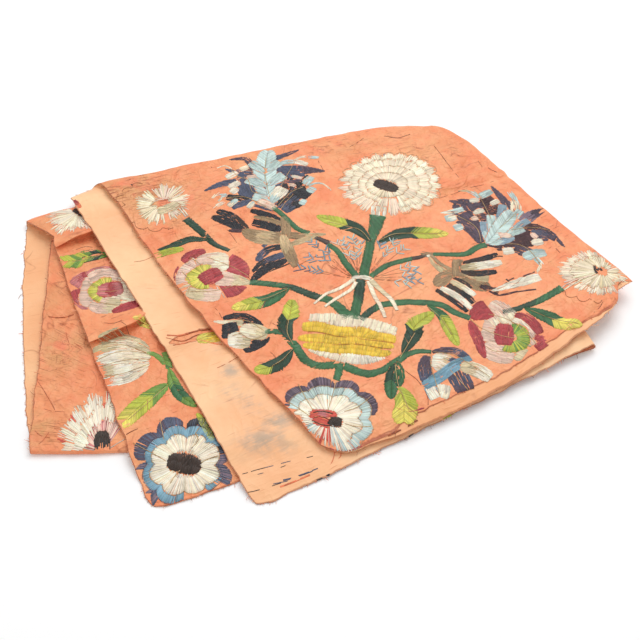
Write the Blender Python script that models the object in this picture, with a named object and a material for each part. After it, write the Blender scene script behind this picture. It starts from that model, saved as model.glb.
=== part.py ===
"""Embroidered silk panel with its lining, folded in four and fanned out, lying on a table.

The panel is one piece of coral silk with one peach lining sewn to it along the hem. It is folded
over at the back, so that the lining lies inside, and then folded again at the right. From the top
down the four quarters are: top (silk up), second (lining up), third (silk up) and bottom (silk
down). The bottom quarter is longer than the others, and its front is turned back up over itself.
Each quarter has slid a little round the back corner, so the four tips lie side by side in front.

Units are metres and +Z is up. The origin is on the table under the middle of the folded panel.
"""

from collections import namedtuple

import bpy
import bmesh
import numpy as np

# Cloth thicknesses, measured through the stitching and the small air gaps of crumpled silk
SILK = 0.0010
LINING = 0.0010
SEAM_GAP = 0.0003
HALF = SEAM_GAP / 2 + SILK
STEP = 0.0043

# How far past its edge a quarter still bears what lies on it, and the run over which that comes down
COVER_MARGIN = 0.006
COVER_FALLS = {"bottom": 0.032, "turn_back": 0.048, "third": 0.032, "second": 0.032}

Quarter = namedtuple("Quarter", "back roll_end shoulder tip wrap_end roll_bow hem_bow front_bow wrap_bow pull")

# Plan outline of each quarter. The roll runs from back to roll_end, the left hem on through the
# shoulder to the tip, the front hem from the tip to wrap_end, and the right fold back to the back
# corner. A bow is how far the middle of that edge stands out from its straight line, and pull how
# far the tip is worn back from a sharp corner.
QUARTERS = {
    "top": Quarter((0.155, 0.293), (-0.276, 0.170), (-0.248, 0.130), (0.015, -0.232),
                   (0.365, -0.002), 0.007, 0.012, 0.029, 0.000, 0.008),
    "second": Quarter((0.150, 0.288), (-0.281, 0.166), (-0.307, 0.147), (-0.062, -0.287),
                      (0.307, -0.085), 0.005, 0.001, 0.002, 0.000, 0.006),
    "third": Quarter((0.150, 0.288), (-0.361, 0.109), (-0.329, 0.086), (-0.165, -0.290),
                     (0.307, -0.085), 0.020, 0.000, 0.002, 0.000, 0.007),
    "bottom": Quarter((0.150, 0.288), (-0.363, 0.112), (-0.362, 0.098), (-0.298, -0.228),
                      (0.309, -0.060), 0.020, 0.006, 0.052, 0.001, 0.000),
}
STACK = ("bottom", "turn_back", "third", "second", "top")
SHOULDER_AT = 0.08
EDGE_PARTS = 12

# Rounded corners: the wide back corner, where both folds meet, and the small ones at the tips
BACK_ROUND = 0.090
BACK_PULL = 0.012
TIP_ROUND = 0.024

# The part of the bottom quarter that is turned back: where its left hem ends, how far it reaches
# at its other end, and the share of the front fold that it takes, counted from the left hem
TURN_BACK_END = (-0.327, 0.084)
TURN_BACK_LEAST = 0.020
TURN_BACK_SHARE = 0.40

Loft = namedtuple("Loft", "lowest x y radius height")

# Where trapped air holds a quarter, and all that lies on it, off the one below
LOFTS = (
    Loft("third", -0.345, 0.105, 0.060, 0.0040),
    Loft("second", -0.290, 0.150, 0.070, 0.0030),
    Loft("second", 0.290, -0.070, 0.060, 0.0030),
    Loft("top", -0.270, 0.165, 0.080, 0.0045),
    Loft("top", 0.340, 0.000, 0.110, 0.0075),
    Loft("top", 0.210, 0.200, 0.130, 0.0040),
    Loft("top", 0.020, 0.040, 0.200, 0.0020),
    Loft("top", -0.120, -0.030, 0.050, 0.0030),
)

Tuck = namedtuple("Tuck", "quarter at skew width push height reach fade")

# Tucks that cross a quarter: place along the left hem from the roll (0) to the tip (1), turn of
# the tuck against the rows, half width, forward push of its crest, height, and how far in from the
# hem it runs and fades, as shares of the quarter's width
TUCKS = (
    Tuck("third", 0.118, 0.02, 0.010, 0.0110, 0.0085, 0.020, 0.095),
    Tuck("third", 0.462, -0.06, 0.010, 0.0115, 0.0090, 0.030, 0.095),
    Tuck("second", 0.583, 0.00, 0.011, 0.0050, 0.0040, 0.060, 0.090),
    Tuck("turn_back", 0.500, 0.05, 0.012, 0.0020, 0.0024, 0.050, 0.080),
    Tuck("turn_back", 0.200, -0.05, 0.012, 0.0020, 0.0020, 0.050, 0.080),
)

Crease = namedtuple("Crease", "x y along_x along_y half_length width height")

# Long soft creases in the top quarter: middle, direction, half length, half width and height
CREASES = (
    Crease(0.185, 0.165, 0.98, 0.20, 0.080, 0.014, 0.0030),
    Crease(0.270, 0.000, 0.80, 0.60, 0.070, 0.012, 0.0032),
    Crease(-0.060, 0.225, 0.95, 0.28, 0.110, 0.018, 0.0018),
    Crease(0.110, -0.110, 0.75, 0.65, 0.070, 0.012, 0.0020),
)

# Rows and columns of the cloth, as shares of a quarter, close together where it bends
COLUMNS = (0.0, 0.05, 0.12, 0.20, 0.28, 0.36, 0.44, 0.52, 0.60, 0.68, 0.76, 0.84, 0.90, 0.95,
           0.98, 1.0)
INNER_ROWS = (0.0, 0.03, 0.06, 0.08, 0.093, 0.105, 0.117, 0.129, 0.141, 0.155, 0.19, 0.26, 0.34,
              0.41, 0.435, 0.450, 0.463, 0.476, 0.490, 0.515, 0.545, 0.558, 0.571, 0.583, 0.596,
              0.612, 0.64, 0.70, 0.79, 0.88, 0.95, 0.98, 1.0)
OUTER_ROWS = (0.0, 0.03, 0.07, 0.13, 0.21, 0.29, 0.37, 0.45, 0.53, 0.61, 0.69, 0.77, 0.84, 0.90,
              0.940, 0.967, 1.0)
TURN_BACK_ROWS = (0.0, 0.06, 0.13, 0.18, 0.22, 0.28, 0.38, 0.46, 0.50, 0.54, 0.62, 0.74, 0.87, 1.0)
ARC_PARTS = 5

# Share of the right fold's roundness that is pressed out of it at the front hem
WRAP_FLAT = 1.1

# Along the front hem of the top quarter the silk ends short of the lining, less so at both ends
RIM_ROW = 0.967
RIM_AT_ENDS = 0.15
RIM_TAPER = 0.25

# The lining has split across the second quarter: the rows and columns of the open slit
SPLIT_ROWS = (0.571, 0.596)
SPLIT_COLUMNS = (0.84, 0.98)


def plane(point):
    return np.array(point, float)


def bump(share):
    return 4 * share * (1 - share)


def soft_step(value):
    value = np.clip(value, 0.0, 1.0)
    return value * value * (3 - 2 * value)


def unit(vector):
    return vector / np.linalg.norm(vector, axis=-1, keepdims=True)


def right_of(start, end):
    """The unit vector square to a line in plan, on its right-hand side."""
    along = unit(plane(end) - plane(start))
    return np.array([along[1], -along[0]])


def left_of(start, end):
    return -right_of(start, end)


def edge_point(start, end, bow, share):
    """Points on an edge that bows out to the right of its direction."""
    share = share[:, None]
    return plane(start) * (1 - share) + plane(end) * share + right_of(start, end) * bow * bump(share)


def left_edge(quarter, share):
    """The left side of a quarter: first its short shoulder, then the hem down to the tip."""
    shoulder = edge_point(quarter.roll_end, quarter.shoulder, 0.0, share / SHOULDER_AT)
    hem_share = (share - SHOULDER_AT) / (1 - SHOULDER_AT)
    hem = edge_point(quarter.shoulder, quarter.tip, quarter.hem_bow, hem_share)
    return np.where((share < SHOULDER_AT)[:, None], shoulder, hem)


def near_corner(across, down, width, length, radius):
    """1 at a corner, falling to 0 a radius away from it along either edge."""
    one = 1 - np.minimum(across * width / radius, 1)
    other = 1 - np.minimum(down * length / radius, 1)
    return (one * other)[:, None] ** 2


def plan(name, across, down):
    """Where points of a quarter lie on the table: across from the right fold, down from the roll."""
    quarter = QUARTERS[name]
    right = edge_point(quarter.back, quarter.wrap_end, -quarter.wrap_bow, down)
    side = across[:, None]
    point = right * (1 - side) + left_edge(quarter, down) * side
    roll_out = right_of(quarter.roll_end, quarter.back) * -quarter.roll_bow
    front_out = right_of(quarter.tip, quarter.wrap_end) * quarter.front_bow
    point = point + roll_out * (bump(across) * (1 - down) ** 2)[:, None]
    point = point + front_out * (bump(across) * down**2)[:, None]
    width = np.linalg.norm(plane(quarter.wrap_end) - plane(quarter.tip))
    length = np.linalg.norm(plane(quarter.shoulder) - plane(quarter.tip))
    inwards = unit(plane(quarter.tip) - plane(quarter.back))
    point = point + inwards * BACK_PULL * near_corner(across, down, width, length, BACK_ROUND)
    return point - inwards * quarter.pull * near_corner(1 - across, 1 - down, width, length, TIP_ROUND)


def turn_back_plan(across, down):
    """Where the turned-back front of the bottom quarter lies: across as there, down from the fold."""
    fold = plan("bottom", across, np.ones_like(across))
    corner = plan("bottom", np.ones(1), np.ones(1))[0]
    hem = plane(TURN_BACK_END) - corner
    share = 1 - (1 - across) / TURN_BACK_SHARE
    reach = TURN_BACK_LEAST + (np.linalg.norm(hem) - TURN_BACK_LEAST) * share
    return fold + unit(hem) * (reach * down)[:, None]


def place(name, across, down):
    return turn_back_plan(across, down) if name == "turn_back" else plan(name, across, down)


def outline(name, right_name=None):
    """The outline of a layer in plan, as a ring of points, with its own right edge or another's."""
    run = np.arange(EDGE_PARTS) / EDGE_PARTS
    least = 1 - TURN_BACK_SHARE if name == "turn_back" else 0.0
    right, left = np.full(EDGE_PARTS, least), np.ones(EDGE_PARTS)
    across = np.concatenate([right, least + (1 - least) * run, left, 1 - (1 - least) * run])
    down = np.concatenate([1 - run, run * 0, run, run * 0 + 1])
    ring = place(name, across, down)
    if right_name:
        ring[:EDGE_PARTS] = place(right_name, right, 1 - run)
    return ring


def outside(ring, points):
    """How far points in plan lie outside a ring. Inside it, the distance is negative."""
    ends = np.roll(ring, -1, axis=0)
    edges = ends - ring
    offsets = points[:, None] - ring
    shares = np.clip((offsets * edges).sum(2) / (edges**2).sum(1), 0, 1)
    nearest = np.linalg.norm(offsets - edges * shares[:, :, None], axis=2).min(axis=1)
    level = points[:, 1:]
    spans = (ring[:, 1] > level) != (ends[:, 1] > level)
    rise = np.where(edges[:, 1] == 0, 1.0, edges[:, 1])
    meets = ring[:, 0] + edges[:, 0] * (level - ring[:, 1]) / rise
    inside = (spans & (points[:, :1] < meets)).sum(axis=1) % 2 == 1
    return np.where(inside, -nearest, nearest)


def rest_height(name, points):
    """The height of the middle of a lined layer over points in plan."""
    height = np.full(len(points), HALF)
    level = STACK.index(name)
    rings = HELD_RINGS if name == "top" else RINGS
    for below in STACK[:level]:
        past = outside(rings[below], points)
        fall = COVER_FALLS[below]
        height += STEP * soft_step((COVER_MARGIN + fall - past) / fall)
    for loft in LOFTS:
        if STACK.index(loft.lowest) <= level:
            gap = np.hypot(points[:, 0] - loft.x, points[:, 1] - loft.y) / loft.radius
            height += loft.height * np.exp(-gap * gap)
    if name == "top":
        for crease in CREASES:
            along = unit(np.array([crease.along_x, crease.along_y]))
            offset = points - np.array([crease.x, crease.y])
            run = offset @ along / crease.half_length
            side = (along[0] * offset[:, 1] - along[1] * offset[:, 0]) / crease.width
            height += crease.height * np.exp(-(run**2) - side**2)
    return height


def tuck_share(tuck, length, across, down):
    """How much of a tuck's push and height each point gets."""
    distance = (tuck.at + tuck.skew * (1 - across) - down) * length
    fade = 1 - soft_step((1 - across - tuck.reach) / tuck.fade)
    return np.exp(-((distance / tuck.width) ** 2)) * fade


def layer(name, across, down):
    """The middle of a lined layer, with its tucks, as points in space."""
    here = place(name, across, down)
    forward = unit(place(name, across, down + 0.01) - here)
    ends = place(name, np.ones(2), np.array([SHOULDER_AT, 1.0]))
    length = np.linalg.norm(ends[1] - ends[0])
    height = rest_height(name, here)
    for tuck in TUCKS:
        if tuck.quarter == name:
            share = tuck_share(tuck, length, across, down)
            here = here + forward * (tuck.push * share)[:, None]
            height = height + tuck.height * share
    return np.column_stack([here, height])


def cloth(right_turn, across, back_turn, down):
    """The middle surface of the lined cloth.

    right_turn is the angle round the right fold, from a quarter turn in the upper pair of quarters
    to minus a quarter turn in the lower pair, and back_turn the angle round the roll at the back,
    from the outer quarters (top and bottom) to the inner ones.
    """
    upper, outer = (1 + np.sin(right_turn)) / 2, (1 + np.sin(back_turn)) / 2
    top, second = layer("top", across, down), layer("second", across, down)
    third, bottom = layer("third", across, down), layer("bottom", across, down)
    point = top * (upper * outer)[:, None] + second * (upper * (1 - outer))[:, None]
    point = point + third * ((1 - upper) * (1 - outer))[:, None] + bottom * ((1 - upper) * outer)[:, None]
    wrap = (top[:, 2] - bottom[:, 2]) / 2 * outer * (1 - WRAP_FLAT * down**3)
    wrap += (second[:, 2] - third[:, 2]) / 2 * (1 - outer)
    roll = (top[:, 2] - second[:, 2]) / 2 * upper + (third[:, 2] - bottom[:, 2]) / 2 * (1 - upper)
    wrap_out = left_of(QUARTERS["second"].back, QUARTERS["second"].wrap_end)
    roll_out = left_of(QUARTERS["top"].roll_end, QUARTERS["top"].back)
    point[:, :2] += wrap_out * (wrap * np.cos(right_turn))[:, None]
    point[:, :2] += roll_out * (roll * np.cos(back_turn))[:, None]
    return point


def stations(first_shares, last_shares):
    """The lines across a fold: the turn at each, and its share of the quarter on that side."""
    quarter_turn = np.pi / 2
    lines = [(quarter_turn, share) for share in reversed(first_shares)]
    lines += [(quarter_turn - np.pi * i / ARC_PARTS, 0.0) for i in range(1, ARC_PARTS)]
    return lines + [(-quarter_turn, share) for share in last_shares]


def rim_down(across, down):
    """Rows past the end of the silk, drawn closer to the hem at both of its ends."""
    inwards = np.minimum(across, 1 - across) / RIM_TAPER
    narrow = RIM_AT_ENDS + (1 - RIM_AT_ENDS) * soft_step(inwards)
    return np.where(down >= RIM_ROW, 1 - (1 - down) * narrow, down)


def cloth_grid():
    """The middle surface: its points, its quads, and which quads the silk and the lining lack."""
    columns, rows = stations(COLUMNS, COLUMNS), stations(OUTER_ROWS, INNER_ROWS)
    right_turn, across = (np.repeat(values, len(rows)) for values in np.array(columns).T)
    back_turn, down = (np.tile(values, len(columns)) for values in np.array(rows).T)
    down = np.where(back_turn > 0, rim_down(across, down), down)
    points = cloth(right_turn, across, back_turn, down)
    quads, no_silk, no_lining = [], set(), set()
    for i in range(len(columns) - 1):
        for j in range(len(rows) - 1):
            start = i * len(rows) + j
            upper = columns[i + 1][0] > 0
            if upper and rows[j + 1][0] > 0 and rows[j + 1][1] >= RIM_ROW:
                no_silk.add(len(quads))
            middle_row = (rows[j][1] + rows[j + 1][1]) / 2
            middle_column = (columns[i][1] + columns[i + 1][1]) / 2
            slit = SPLIT_ROWS[0] < middle_row < SPLIT_ROWS[1]
            slit = slit and SPLIT_COLUMNS[0] < middle_column < SPLIT_COLUMNS[1]
            if slit and upper and rows[j][0] < 0:
                no_lining.add(len(quads))
            quads.append((start, start + len(rows), start + len(rows) + 1, start + 1))
    return points, quads, no_silk, no_lining


def turn_back_grid(points, quads):
    """Adds the turned-back front of the bottom quarter to the points and quads of the cloth."""
    columns, rows = stations(COLUMNS, COLUMNS), stations(OUTER_ROWS, INNER_ROWS)
    least = 1 - TURN_BACK_SHARE
    last = [i * len(rows) for i, line in enumerate(columns) if line[0] == -np.pi / 2 and line[1] >= least]
    across = np.array([line[1] for line in columns if line[0] == -np.pi / 2 and line[1] >= least])
    low = layer("bottom", across, np.ones_like(across))
    before = layer("bottom", across, np.full_like(across, 0.97))
    front = unit(low[:, :2] - before[:, :2])
    lines = [(np.pi * i / ARC_PARTS, 0.0) for i in range(1, ARC_PARTS)]
    for turn, down in lines + [(np.pi, down) for down in TURN_BACK_ROWS]:
        high = layer("turn_back", across, np.full_like(across, down))
        rise = (1 - np.cos(turn)) / 2
        line = low * (1 - rise) + high * rise
        line[:, :2] += front * ((high[:, 2:] - low[:, 2:]) / 2 * np.sin(turn))
        new = [len(points) + k for k in range(len(line))]
        points = np.vstack([points, line])
        for k in range(len(new) - 1):
            quads.append((new[k], new[k + 1], last[k + 1], last[k]))
        last = new
    return points


def normals_of(points, quads):
    """The face side of the cloth at each point, from the quads round it."""
    corners = points[np.array(quads)]
    squares = unit(np.cross(corners[:, 2] - corners[:, 0], corners[:, 3] - corners[:, 1]))
    normals = np.zeros_like(points)
    for place_in_quad in range(4):
        np.add.at(normals, np.array(quads)[:, place_in_quad], squares)
    return unit(normals)


def material(name, colour, roughness):
    made = bpy.data.materials.new(name)
    made.use_nodes = True
    shader = made.node_tree.nodes["Principled BSDF"]
    shader.inputs["Base Color"].default_value = (*colour, 1.0)
    shader.inputs["Roughness"].default_value = roughness
    shader.inputs["Metallic"].default_value = 0.0
    return made


def sheet(name, points, normals, quads, low, high, finish):
    """One layer of cloth as a closed solid, from low to high along the normals of the middle surface."""
    mesh = bmesh.new()
    used = sorted({i for quad in quads for i in quad})
    skins = []
    for offset in (low, high):
        moved = points + normals * offset
        moved[:, 2] = np.maximum(moved[:, 2], 0.0)
        skins.append({i: mesh.verts.new(moved[i]) for i in used})
    under, over = skins
    edges = set()
    for a, b, c, d in quads:
        for corners in ((a, b, c), (a, c, d)):
            mesh.faces.new([over[i] for i in corners])
            mesh.faces.new([under[i] for i in reversed(corners)])
        edges.update([(a, b), (b, c), (c, d), (d, a)])
    for start, end in sorted(edges):
        if (end, start) not in edges:
            mesh.faces.new([over[end], over[start], under[start]])
            mesh.faces.new([over[end], under[start], under[end]])
    data = bpy.data.meshes.new(name)
    mesh.to_mesh(data)
    mesh.free()
    data.shade_smooth()
    data.set_sharp_from_angle(angle=np.radians(50))
    data.materials.append(finish)
    piece = bpy.data.objects.new(name, data)
    bpy.context.scene.collection.objects.link(piece)
    return piece


# The right fold holds the top quarter up as far as its own edge, past the edges of the others
RINGS = {name: outline(name) for name in STACK}
HELD_RINGS = {name: RINGS[name] if name == "turn_back" else outline(name, "top") for name in STACK}


def main():
    for item in list(bpy.data.objects):
        bpy.data.objects.remove(item)
    points, quads, no_silk, no_lining = cloth_grid()
    points = turn_back_grid(points, quads)
    normals = normals_of(points, quads)
    face = [quad for i, quad in enumerate(quads) if i not in no_silk]
    back = [quad for i, quad in enumerate(quads) if i not in no_lining]
    coral = material("coral_silk", (0.88, 0.33, 0.17), 0.45)
    peach = material("peach_lining_silk", (0.93, 0.52, 0.28), 0.50)
    sheet("embroidered_silk", points, normals, face, SEAM_GAP / 2, SEAM_GAP / 2 + SILK, coral)
    sheet("silk_lining", points, normals, back, -SEAM_GAP / 2 - LINING, -SEAM_GAP / 2, peach)


main()
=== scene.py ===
"""Looks of the embroidered silk panel: its cloth, embroidery, wear and studio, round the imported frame.

The panel is one lined piece of coral silk, folded in four and fanned out. From the top down its
quarters are: top (silk up), second (lining up), third (silk up) and bottom (silk down), and the
front of the bottom quarter is turned back up over itself. The embroidery is worked from charts, and
every stitch of it is a small closed form of its own, laid on the quarter that carries it.
"""

from collections import namedtuple
from functools import lru_cache

import bpy
import numpy as np
from bpy.props import FloatProperty, PointerProperty, StringProperty
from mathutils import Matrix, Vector
from mathutils.bvhtree import BVHTree


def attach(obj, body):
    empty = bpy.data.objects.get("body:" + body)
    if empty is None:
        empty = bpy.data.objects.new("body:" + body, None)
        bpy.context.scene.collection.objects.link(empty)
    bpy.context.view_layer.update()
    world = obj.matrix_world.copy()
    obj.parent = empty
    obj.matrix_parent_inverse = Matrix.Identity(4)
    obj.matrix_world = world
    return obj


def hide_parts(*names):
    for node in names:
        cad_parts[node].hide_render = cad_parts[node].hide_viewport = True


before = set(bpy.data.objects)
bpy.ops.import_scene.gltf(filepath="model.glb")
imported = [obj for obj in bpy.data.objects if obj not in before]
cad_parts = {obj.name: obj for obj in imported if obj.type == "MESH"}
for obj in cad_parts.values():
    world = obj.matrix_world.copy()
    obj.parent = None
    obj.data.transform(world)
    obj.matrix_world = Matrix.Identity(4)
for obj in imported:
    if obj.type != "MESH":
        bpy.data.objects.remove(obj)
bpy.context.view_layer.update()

bl_info = {
    "name": "Embroidered silk panel",
    "version": (1, 0, 0),
    "blender": (4, 5, 0),
    "location": "View3D > Sidebar > Silk panel",
    "description": "Folds, lines, embroiders and lights a worn silk panel",
    "category": "Object",
}

MM = 0.001

# The photograph's camera: a frame of 640 by 640, looking along +Y and down at 50 degrees
VIEW_SIZE = 640
VIEW_LENS = 56.25
VIEW_SENSOR = 36.0
VIEW_ELEVATION = np.radians(50.0)
VIEW_DISTANCE = 1.15
VIEW_TARGET = (0.002, -0.041, 0.0)

# The fold of the cloth, the same as the frame's: the spacing of its layers and the run over which
# a quarter comes down past the edge of the one that it lies on
FRAME_HALF = 0.00115
STEP = 0.0043
COVER_MARGIN = 0.006
COVER_FALLS = {"bottom": 0.032, "turn_back": 0.048, "third": 0.032, "second": 0.032}

Quarter = namedtuple(
    "Quarter", "back roll_end shoulder tip wrap_end roll_bow hem_bow front_bow wrap_bow pull")

# Plan outline of each quarter: corners in metres, how far the middle of each edge bows out, and how
# far the tip is worn back
QUARTERS = {
    "top": Quarter((0.158, 0.306), (-0.276, 0.170), (-0.248, 0.130), (0.015, -0.232),
                   (0.3695, -0.0087), 0.007, 0.012, 0.023, 0.000, 0.008),
    "second": Quarter((0.150, 0.288), (-0.289, 0.168), (-0.314, 0.149), (-0.062, -0.287),
                      (0.305, -0.086), 0.005, -0.003, 0.001, 0.000, 0.006),
    "third": Quarter((0.150, 0.288), (-0.361, 0.109), (-0.329, 0.086), (-0.165, -0.290),
                     (0.307, -0.085), 0.020, 0.000, 0.002, 0.000, 0.007),
    "bottom": Quarter((0.150, 0.288), (-0.363, 0.112), (-0.362, 0.098), (-0.298, -0.220),
                      (0.309, -0.060), 0.020, 0.006, 0.046, 0.001, 0.000),
}
STACK = ("bottom", "turn_back", "third", "second", "top")

# The shoulder's share of a left side, and the points along a side of an outline
SHOULDER_AT = 0.08
EDGE_PARTS = 12

# The worn corners: how far along the edges the back corner is rounded and how far it is drawn in,
# and how far along them a tip is rounded
BACK_ROUND = 0.100
BACK_PULL = 0.020
TIP_ROUND = 0.024

# The turned-back front: where the end of its hem lies, its least and its rough greatest reach, and
# its share of the front
TURN_BACK_END = (-0.327, 0.084)
TURN_BACK_LEAST = 0.020
TURN_BACK_REACH = 0.32
TURN_BACK_SHARE = 0.40

# The right fold bulges out at the back. Towards the front it loses this many times its bulge, so that
# it falls in under the top quarter.
WRAP_FLAT = 2.9

# The open cut is about this wide and long in each quarter, which sets the scale of the weave
QUARTER_WIDTH = 0.51
QUARTER_LENGTH = 0.47

Loft = namedtuple("Loft", "lowest x y radius height")

# Where trapped air holds a quarter, and all that lies on it, off the one below
LOFTS = (
    Loft("third", -0.345, 0.105, 0.060, 0.0040),
    Loft("second", -0.268, 0.085, 0.034, 0.0070),
    Loft("second", -0.228, -0.010, 0.034, 0.0060),
    Loft("second", -0.290, 0.150, 0.070, 0.0030),
    Loft("second", 0.290, -0.070, 0.060, 0.0030),
    Loft("top", -0.270, 0.165, 0.080, 0.0030),
    Loft("top", 0.340, 0.000, 0.110, 0.0075),
    Loft("top", 0.190, 0.220, 0.130, 0.0065),
    Loft("top", 0.020, 0.040, 0.200, 0.0020),
    Loft("top", -0.120, -0.030, 0.050, 0.0030),
)

Tuck = namedtuple("Tuck", "quarter at skew width push height reach fade at_hem", defaults=(1.0,))

# Tucks that cross a quarter: place along the left hem, turn against the rows, half width, forward
# push of the crest, height, how far in from the hem it runs and fades, and the share of its height
# that it has at the hem
TUCKS = (
    Tuck("third", 0.088, 0.02, 0.009, 0.0240, 0.0150, 0.075, 0.060, 0.25),
    Tuck("third", 0.444, -0.02, 0.009, 0.0250, 0.0145, 0.085, 0.080, 0.50),
    Tuck("second", 0.583, 0.00, 0.011, 0.0050, 0.0040, 0.060, 0.090),
)

# The creases of each layer, each from one place in the photograph's frame to another (px, py, px,
# py), with half width and height in millimetres. A negative height is a valley.
CREASES = {
    "top": (
        (438, 195, 500, 178, 5.0, -2.2), (440, 189, 502, 171, 7.0, 2.0), (300, 165, 420, 150, 14.0, 1.8),
        (392, 400, 470, 345, 9.0, 2.0), (415, 131, 450, 164, 2.2, 0.9), (450, 164, 459, 180, 2.2, 0.8),
        (592, 303, 572, 323, 3.0, 1.6), (604, 296, 588, 316, 4.0, -2.0), (401, 372, 420, 393, 3.2, 1.8),
        (420, 395, 428, 408, 2.6, 1.0), (478, 335, 492, 352, 3.0, -1.0), (505, 290, 521, 276, 3.0, 1.0),
        (214, 213, 206, 232, 2.6, 1.0), (224, 237, 244, 252, 2.6, 0.9), (272, 330, 284, 338, 2.4, 0.9),
        (300, 168, 324, 178, 2.6, 1.0), (352, 146, 366, 137, 2.2, 1.1), (382, 138, 402, 134, 2.2, 1.1),
        (560, 250, 548, 262, 3.0, 1.0), (236, 262, 262, 300, 5.0, -0.9), (330, 362, 372, 352, 4.0, -0.8),
    ),
    "second": (
        (203, 376, 236, 356, 3.2, 1.6), (250, 388, 241, 412, 3.0, 1.2), (80, 212, 108, 205, 5.0, 0.8),
        (262, 455, 318, 432, 4.0, -0.8),
    ),
    "third": (
        (62, 245, 74, 252, 2.6, 1.2), (86, 252, 106, 249, 3.4, 1.8), (122, 425, 134, 421, 2.4, 1.2),
        (96, 376, 118, 380, 4.0, 1.0),
    ),
    "turn_back": (
        (39, 388, 66, 407, 3.4, 1.6), (45, 412, 64, 414, 2.6, 1.4), (46, 314, 76, 312, 5.0, 2.4),
        (46, 321, 76, 318, 4.0, -1.6), (74, 352, 86, 351, 3.0, 0.9), (36, 395, 50, 412, 5.0, -1.4),
        (30, 436, 42, 431, 3.0, 1.4),
    ),
}

# A crease wanders by so many millimetres, with its bends this far apart, and fades past its ends
CREASE_WANDER = 1.5
CREASE_BENDS = 0.018
CREASE_FADE = 0.012

# Along the front hem of the top quarter the silk ends short of the lining: by which share of the
# quarter, how much of that is left at both ends, where it is closed, over what share it opens, and
# how unevenly it runs
RIM_SHARE = 0.028
RIM_AT_ENDS = 0.10
RIM_CLOSED = 0.085
RIM_TAPER = 0.20
RIM_UNEVEN = 0.16

# Near the right corner the front hems of the top and bottom quarters are drawn in together: where
# along them, over what width and how deep, and from how far down and over what share of the way
DENT_AT = 0.034
DENT_WIDE = 0.042
DENT_DEEP = 18.0 * MM
DENT_FROM = 0.91
DENT_RUN = 0.09

# The lining has split across the second quarter: how far down, half its width, from where to where,
# the share of its width that its ends keep, how uneven its lips are and how far off it draws the rows
SPLIT_AT = 0.583
SPLIT_HALF = 0.0125
SPLIT_FROM = 0.84
SPLIT_TO = 0.985
SPLIT_LEAST = 0.06
SPLIT_UNEVEN = 0.35
SPLIT_DRAWS = 0.05

# A hem wanders in long and short waves, which fade out this far in from it
HEM_LONG = 0.022
HEM_SHORT = 0.0075
HEM_BAND = 0.03


class ClothSettings(bpy.types.PropertyGroup):
    """The cloth of the panel."""

    silk: FloatProperty(name="Silk", description="Thickness of the embroidered silk",
                        default=0.6 * MM, min=0.1 * MM, unit="LENGTH")
    lining: FloatProperty(name="Lining", description="Thickness of the lining",
                          default=0.5 * MM, min=0.1 * MM, unit="LENGTH")
    gap: FloatProperty(name="Gap", description="Air between the silk and its lining",
                       default=0.15 * MM, min=0.05 * MM, unit="LENGTH")
    cell: FloatProperty(name="Cell", description="Spacing of the points of the cloth where it shows",
                        default=4.45 * MM, min=1.0 * MM, unit="LENGTH")
    pucker: FloatProperty(name="Pucker", description="Height of the puckers that the stitching draws",
                          default=0.70 * MM, min=0.0, unit="LENGTH")
    hem: FloatProperty(name="Hem", description="How far the hems wander from their lines",
                       default=1.1 * MM, min=0.0, unit="LENGTH")
    silk_colour: StringProperty(name="Silk colour", description="sRGB hex", default="#EF8A5B")
    silk_faded: StringProperty(name="Faded silk", description="sRGB hex", default="#F6A875")
    lining_colour: StringProperty(name="Lining colour", description="sRGB hex", default="#FABB89")
    lining_faded: StringProperty(name="Faded lining", description="sRGB hex", default="#FFCF9E")


class FlossSettings(bpy.types.PropertyGroup):
    """The silk floss of the embroidery."""

    pitch: FloatProperty(name="Pitch", description="Spacing of the stitches side by side",
                         default=0.92 * MM, min=0.3 * MM, unit="LENGTH")
    width: FloatProperty(name="Width", description="Width of a stitch", default=1.4 * MM,
                         min=0.3 * MM, unit="LENGTH")
    ridge: FloatProperty(name="Ridge", description="Height of a stitch over the silk",
                         default=0.45 * MM, min=0.1 * MM, unit="LENGTH")
    reach: FloatProperty(name="Reach", description="Usual length of a long stitch",
                         default=9.0 * MM, min=2.0 * MM, unit="LENGTH")


class StudioSettings(bpy.types.PropertyGroup):
    """The floor and the lights."""

    floor_colour: StringProperty(name="Floor", description="sRGB hex", default="#FFFFFF")
    key: FloatProperty(name="Key light", description="Power of the large light", default=20.0,
                       min=0.0, unit="POWER")
    sky: FloatProperty(name="Sky", description="Strength of the even light all round", default=0.68,
                       min=0.0)


def linear(hex_colour, alpha=1.0):
    """A hex sRGB colour as linear RGBA."""
    value = np.array([int(hex_colour[i:i + 2], 16) / 255 for i in (1, 3, 5)])
    value = np.where(value <= 0.04045, value / 12.92, ((value + 0.055) / 1.055) ** 2.4)
    return (*value.tolist(), alpha)


def add_node(tree, kind, settings=None, **links):
    """Adds a node, sets its own settings, and sets or links its inputs, named with _ for a space.

    An input's value is a number, a colour or the output socket that feeds it. An input that shares
    its name with others is given by its number, as input_1.
    """
    node = tree.nodes.new(kind)
    for name, value in (settings or {}).items():
        setattr(node, name, value)
    for name, value in links.items():
        key = int(name[6:]) if name.startswith("input_") else name.replace("_", " ")
        if isinstance(value, bpy.types.NodeSocket):
            tree.links.new(value, node.inputs[key])
        else:
            node.inputs[key].default_value = value
    return node


def plane(point):
    """A place in plan, to reckon with."""
    return np.array(point, float)


def bump(share):
    """0 at both ends of a run and 1 halfway."""
    return 4 * share * (1 - share)


def soft_step(value):
    """0 below 0, 1 above 1, and a smooth rise between them."""
    value = np.clip(value, 0.0, 1.0)
    return value * value * (3 - 2 * value)


def unit(vector):
    return vector / np.maximum(np.linalg.norm(vector, axis=-1, keepdims=True), 1e-12)


# Noise repeats after this many humps
NOISE_CELLS = 64


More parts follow.
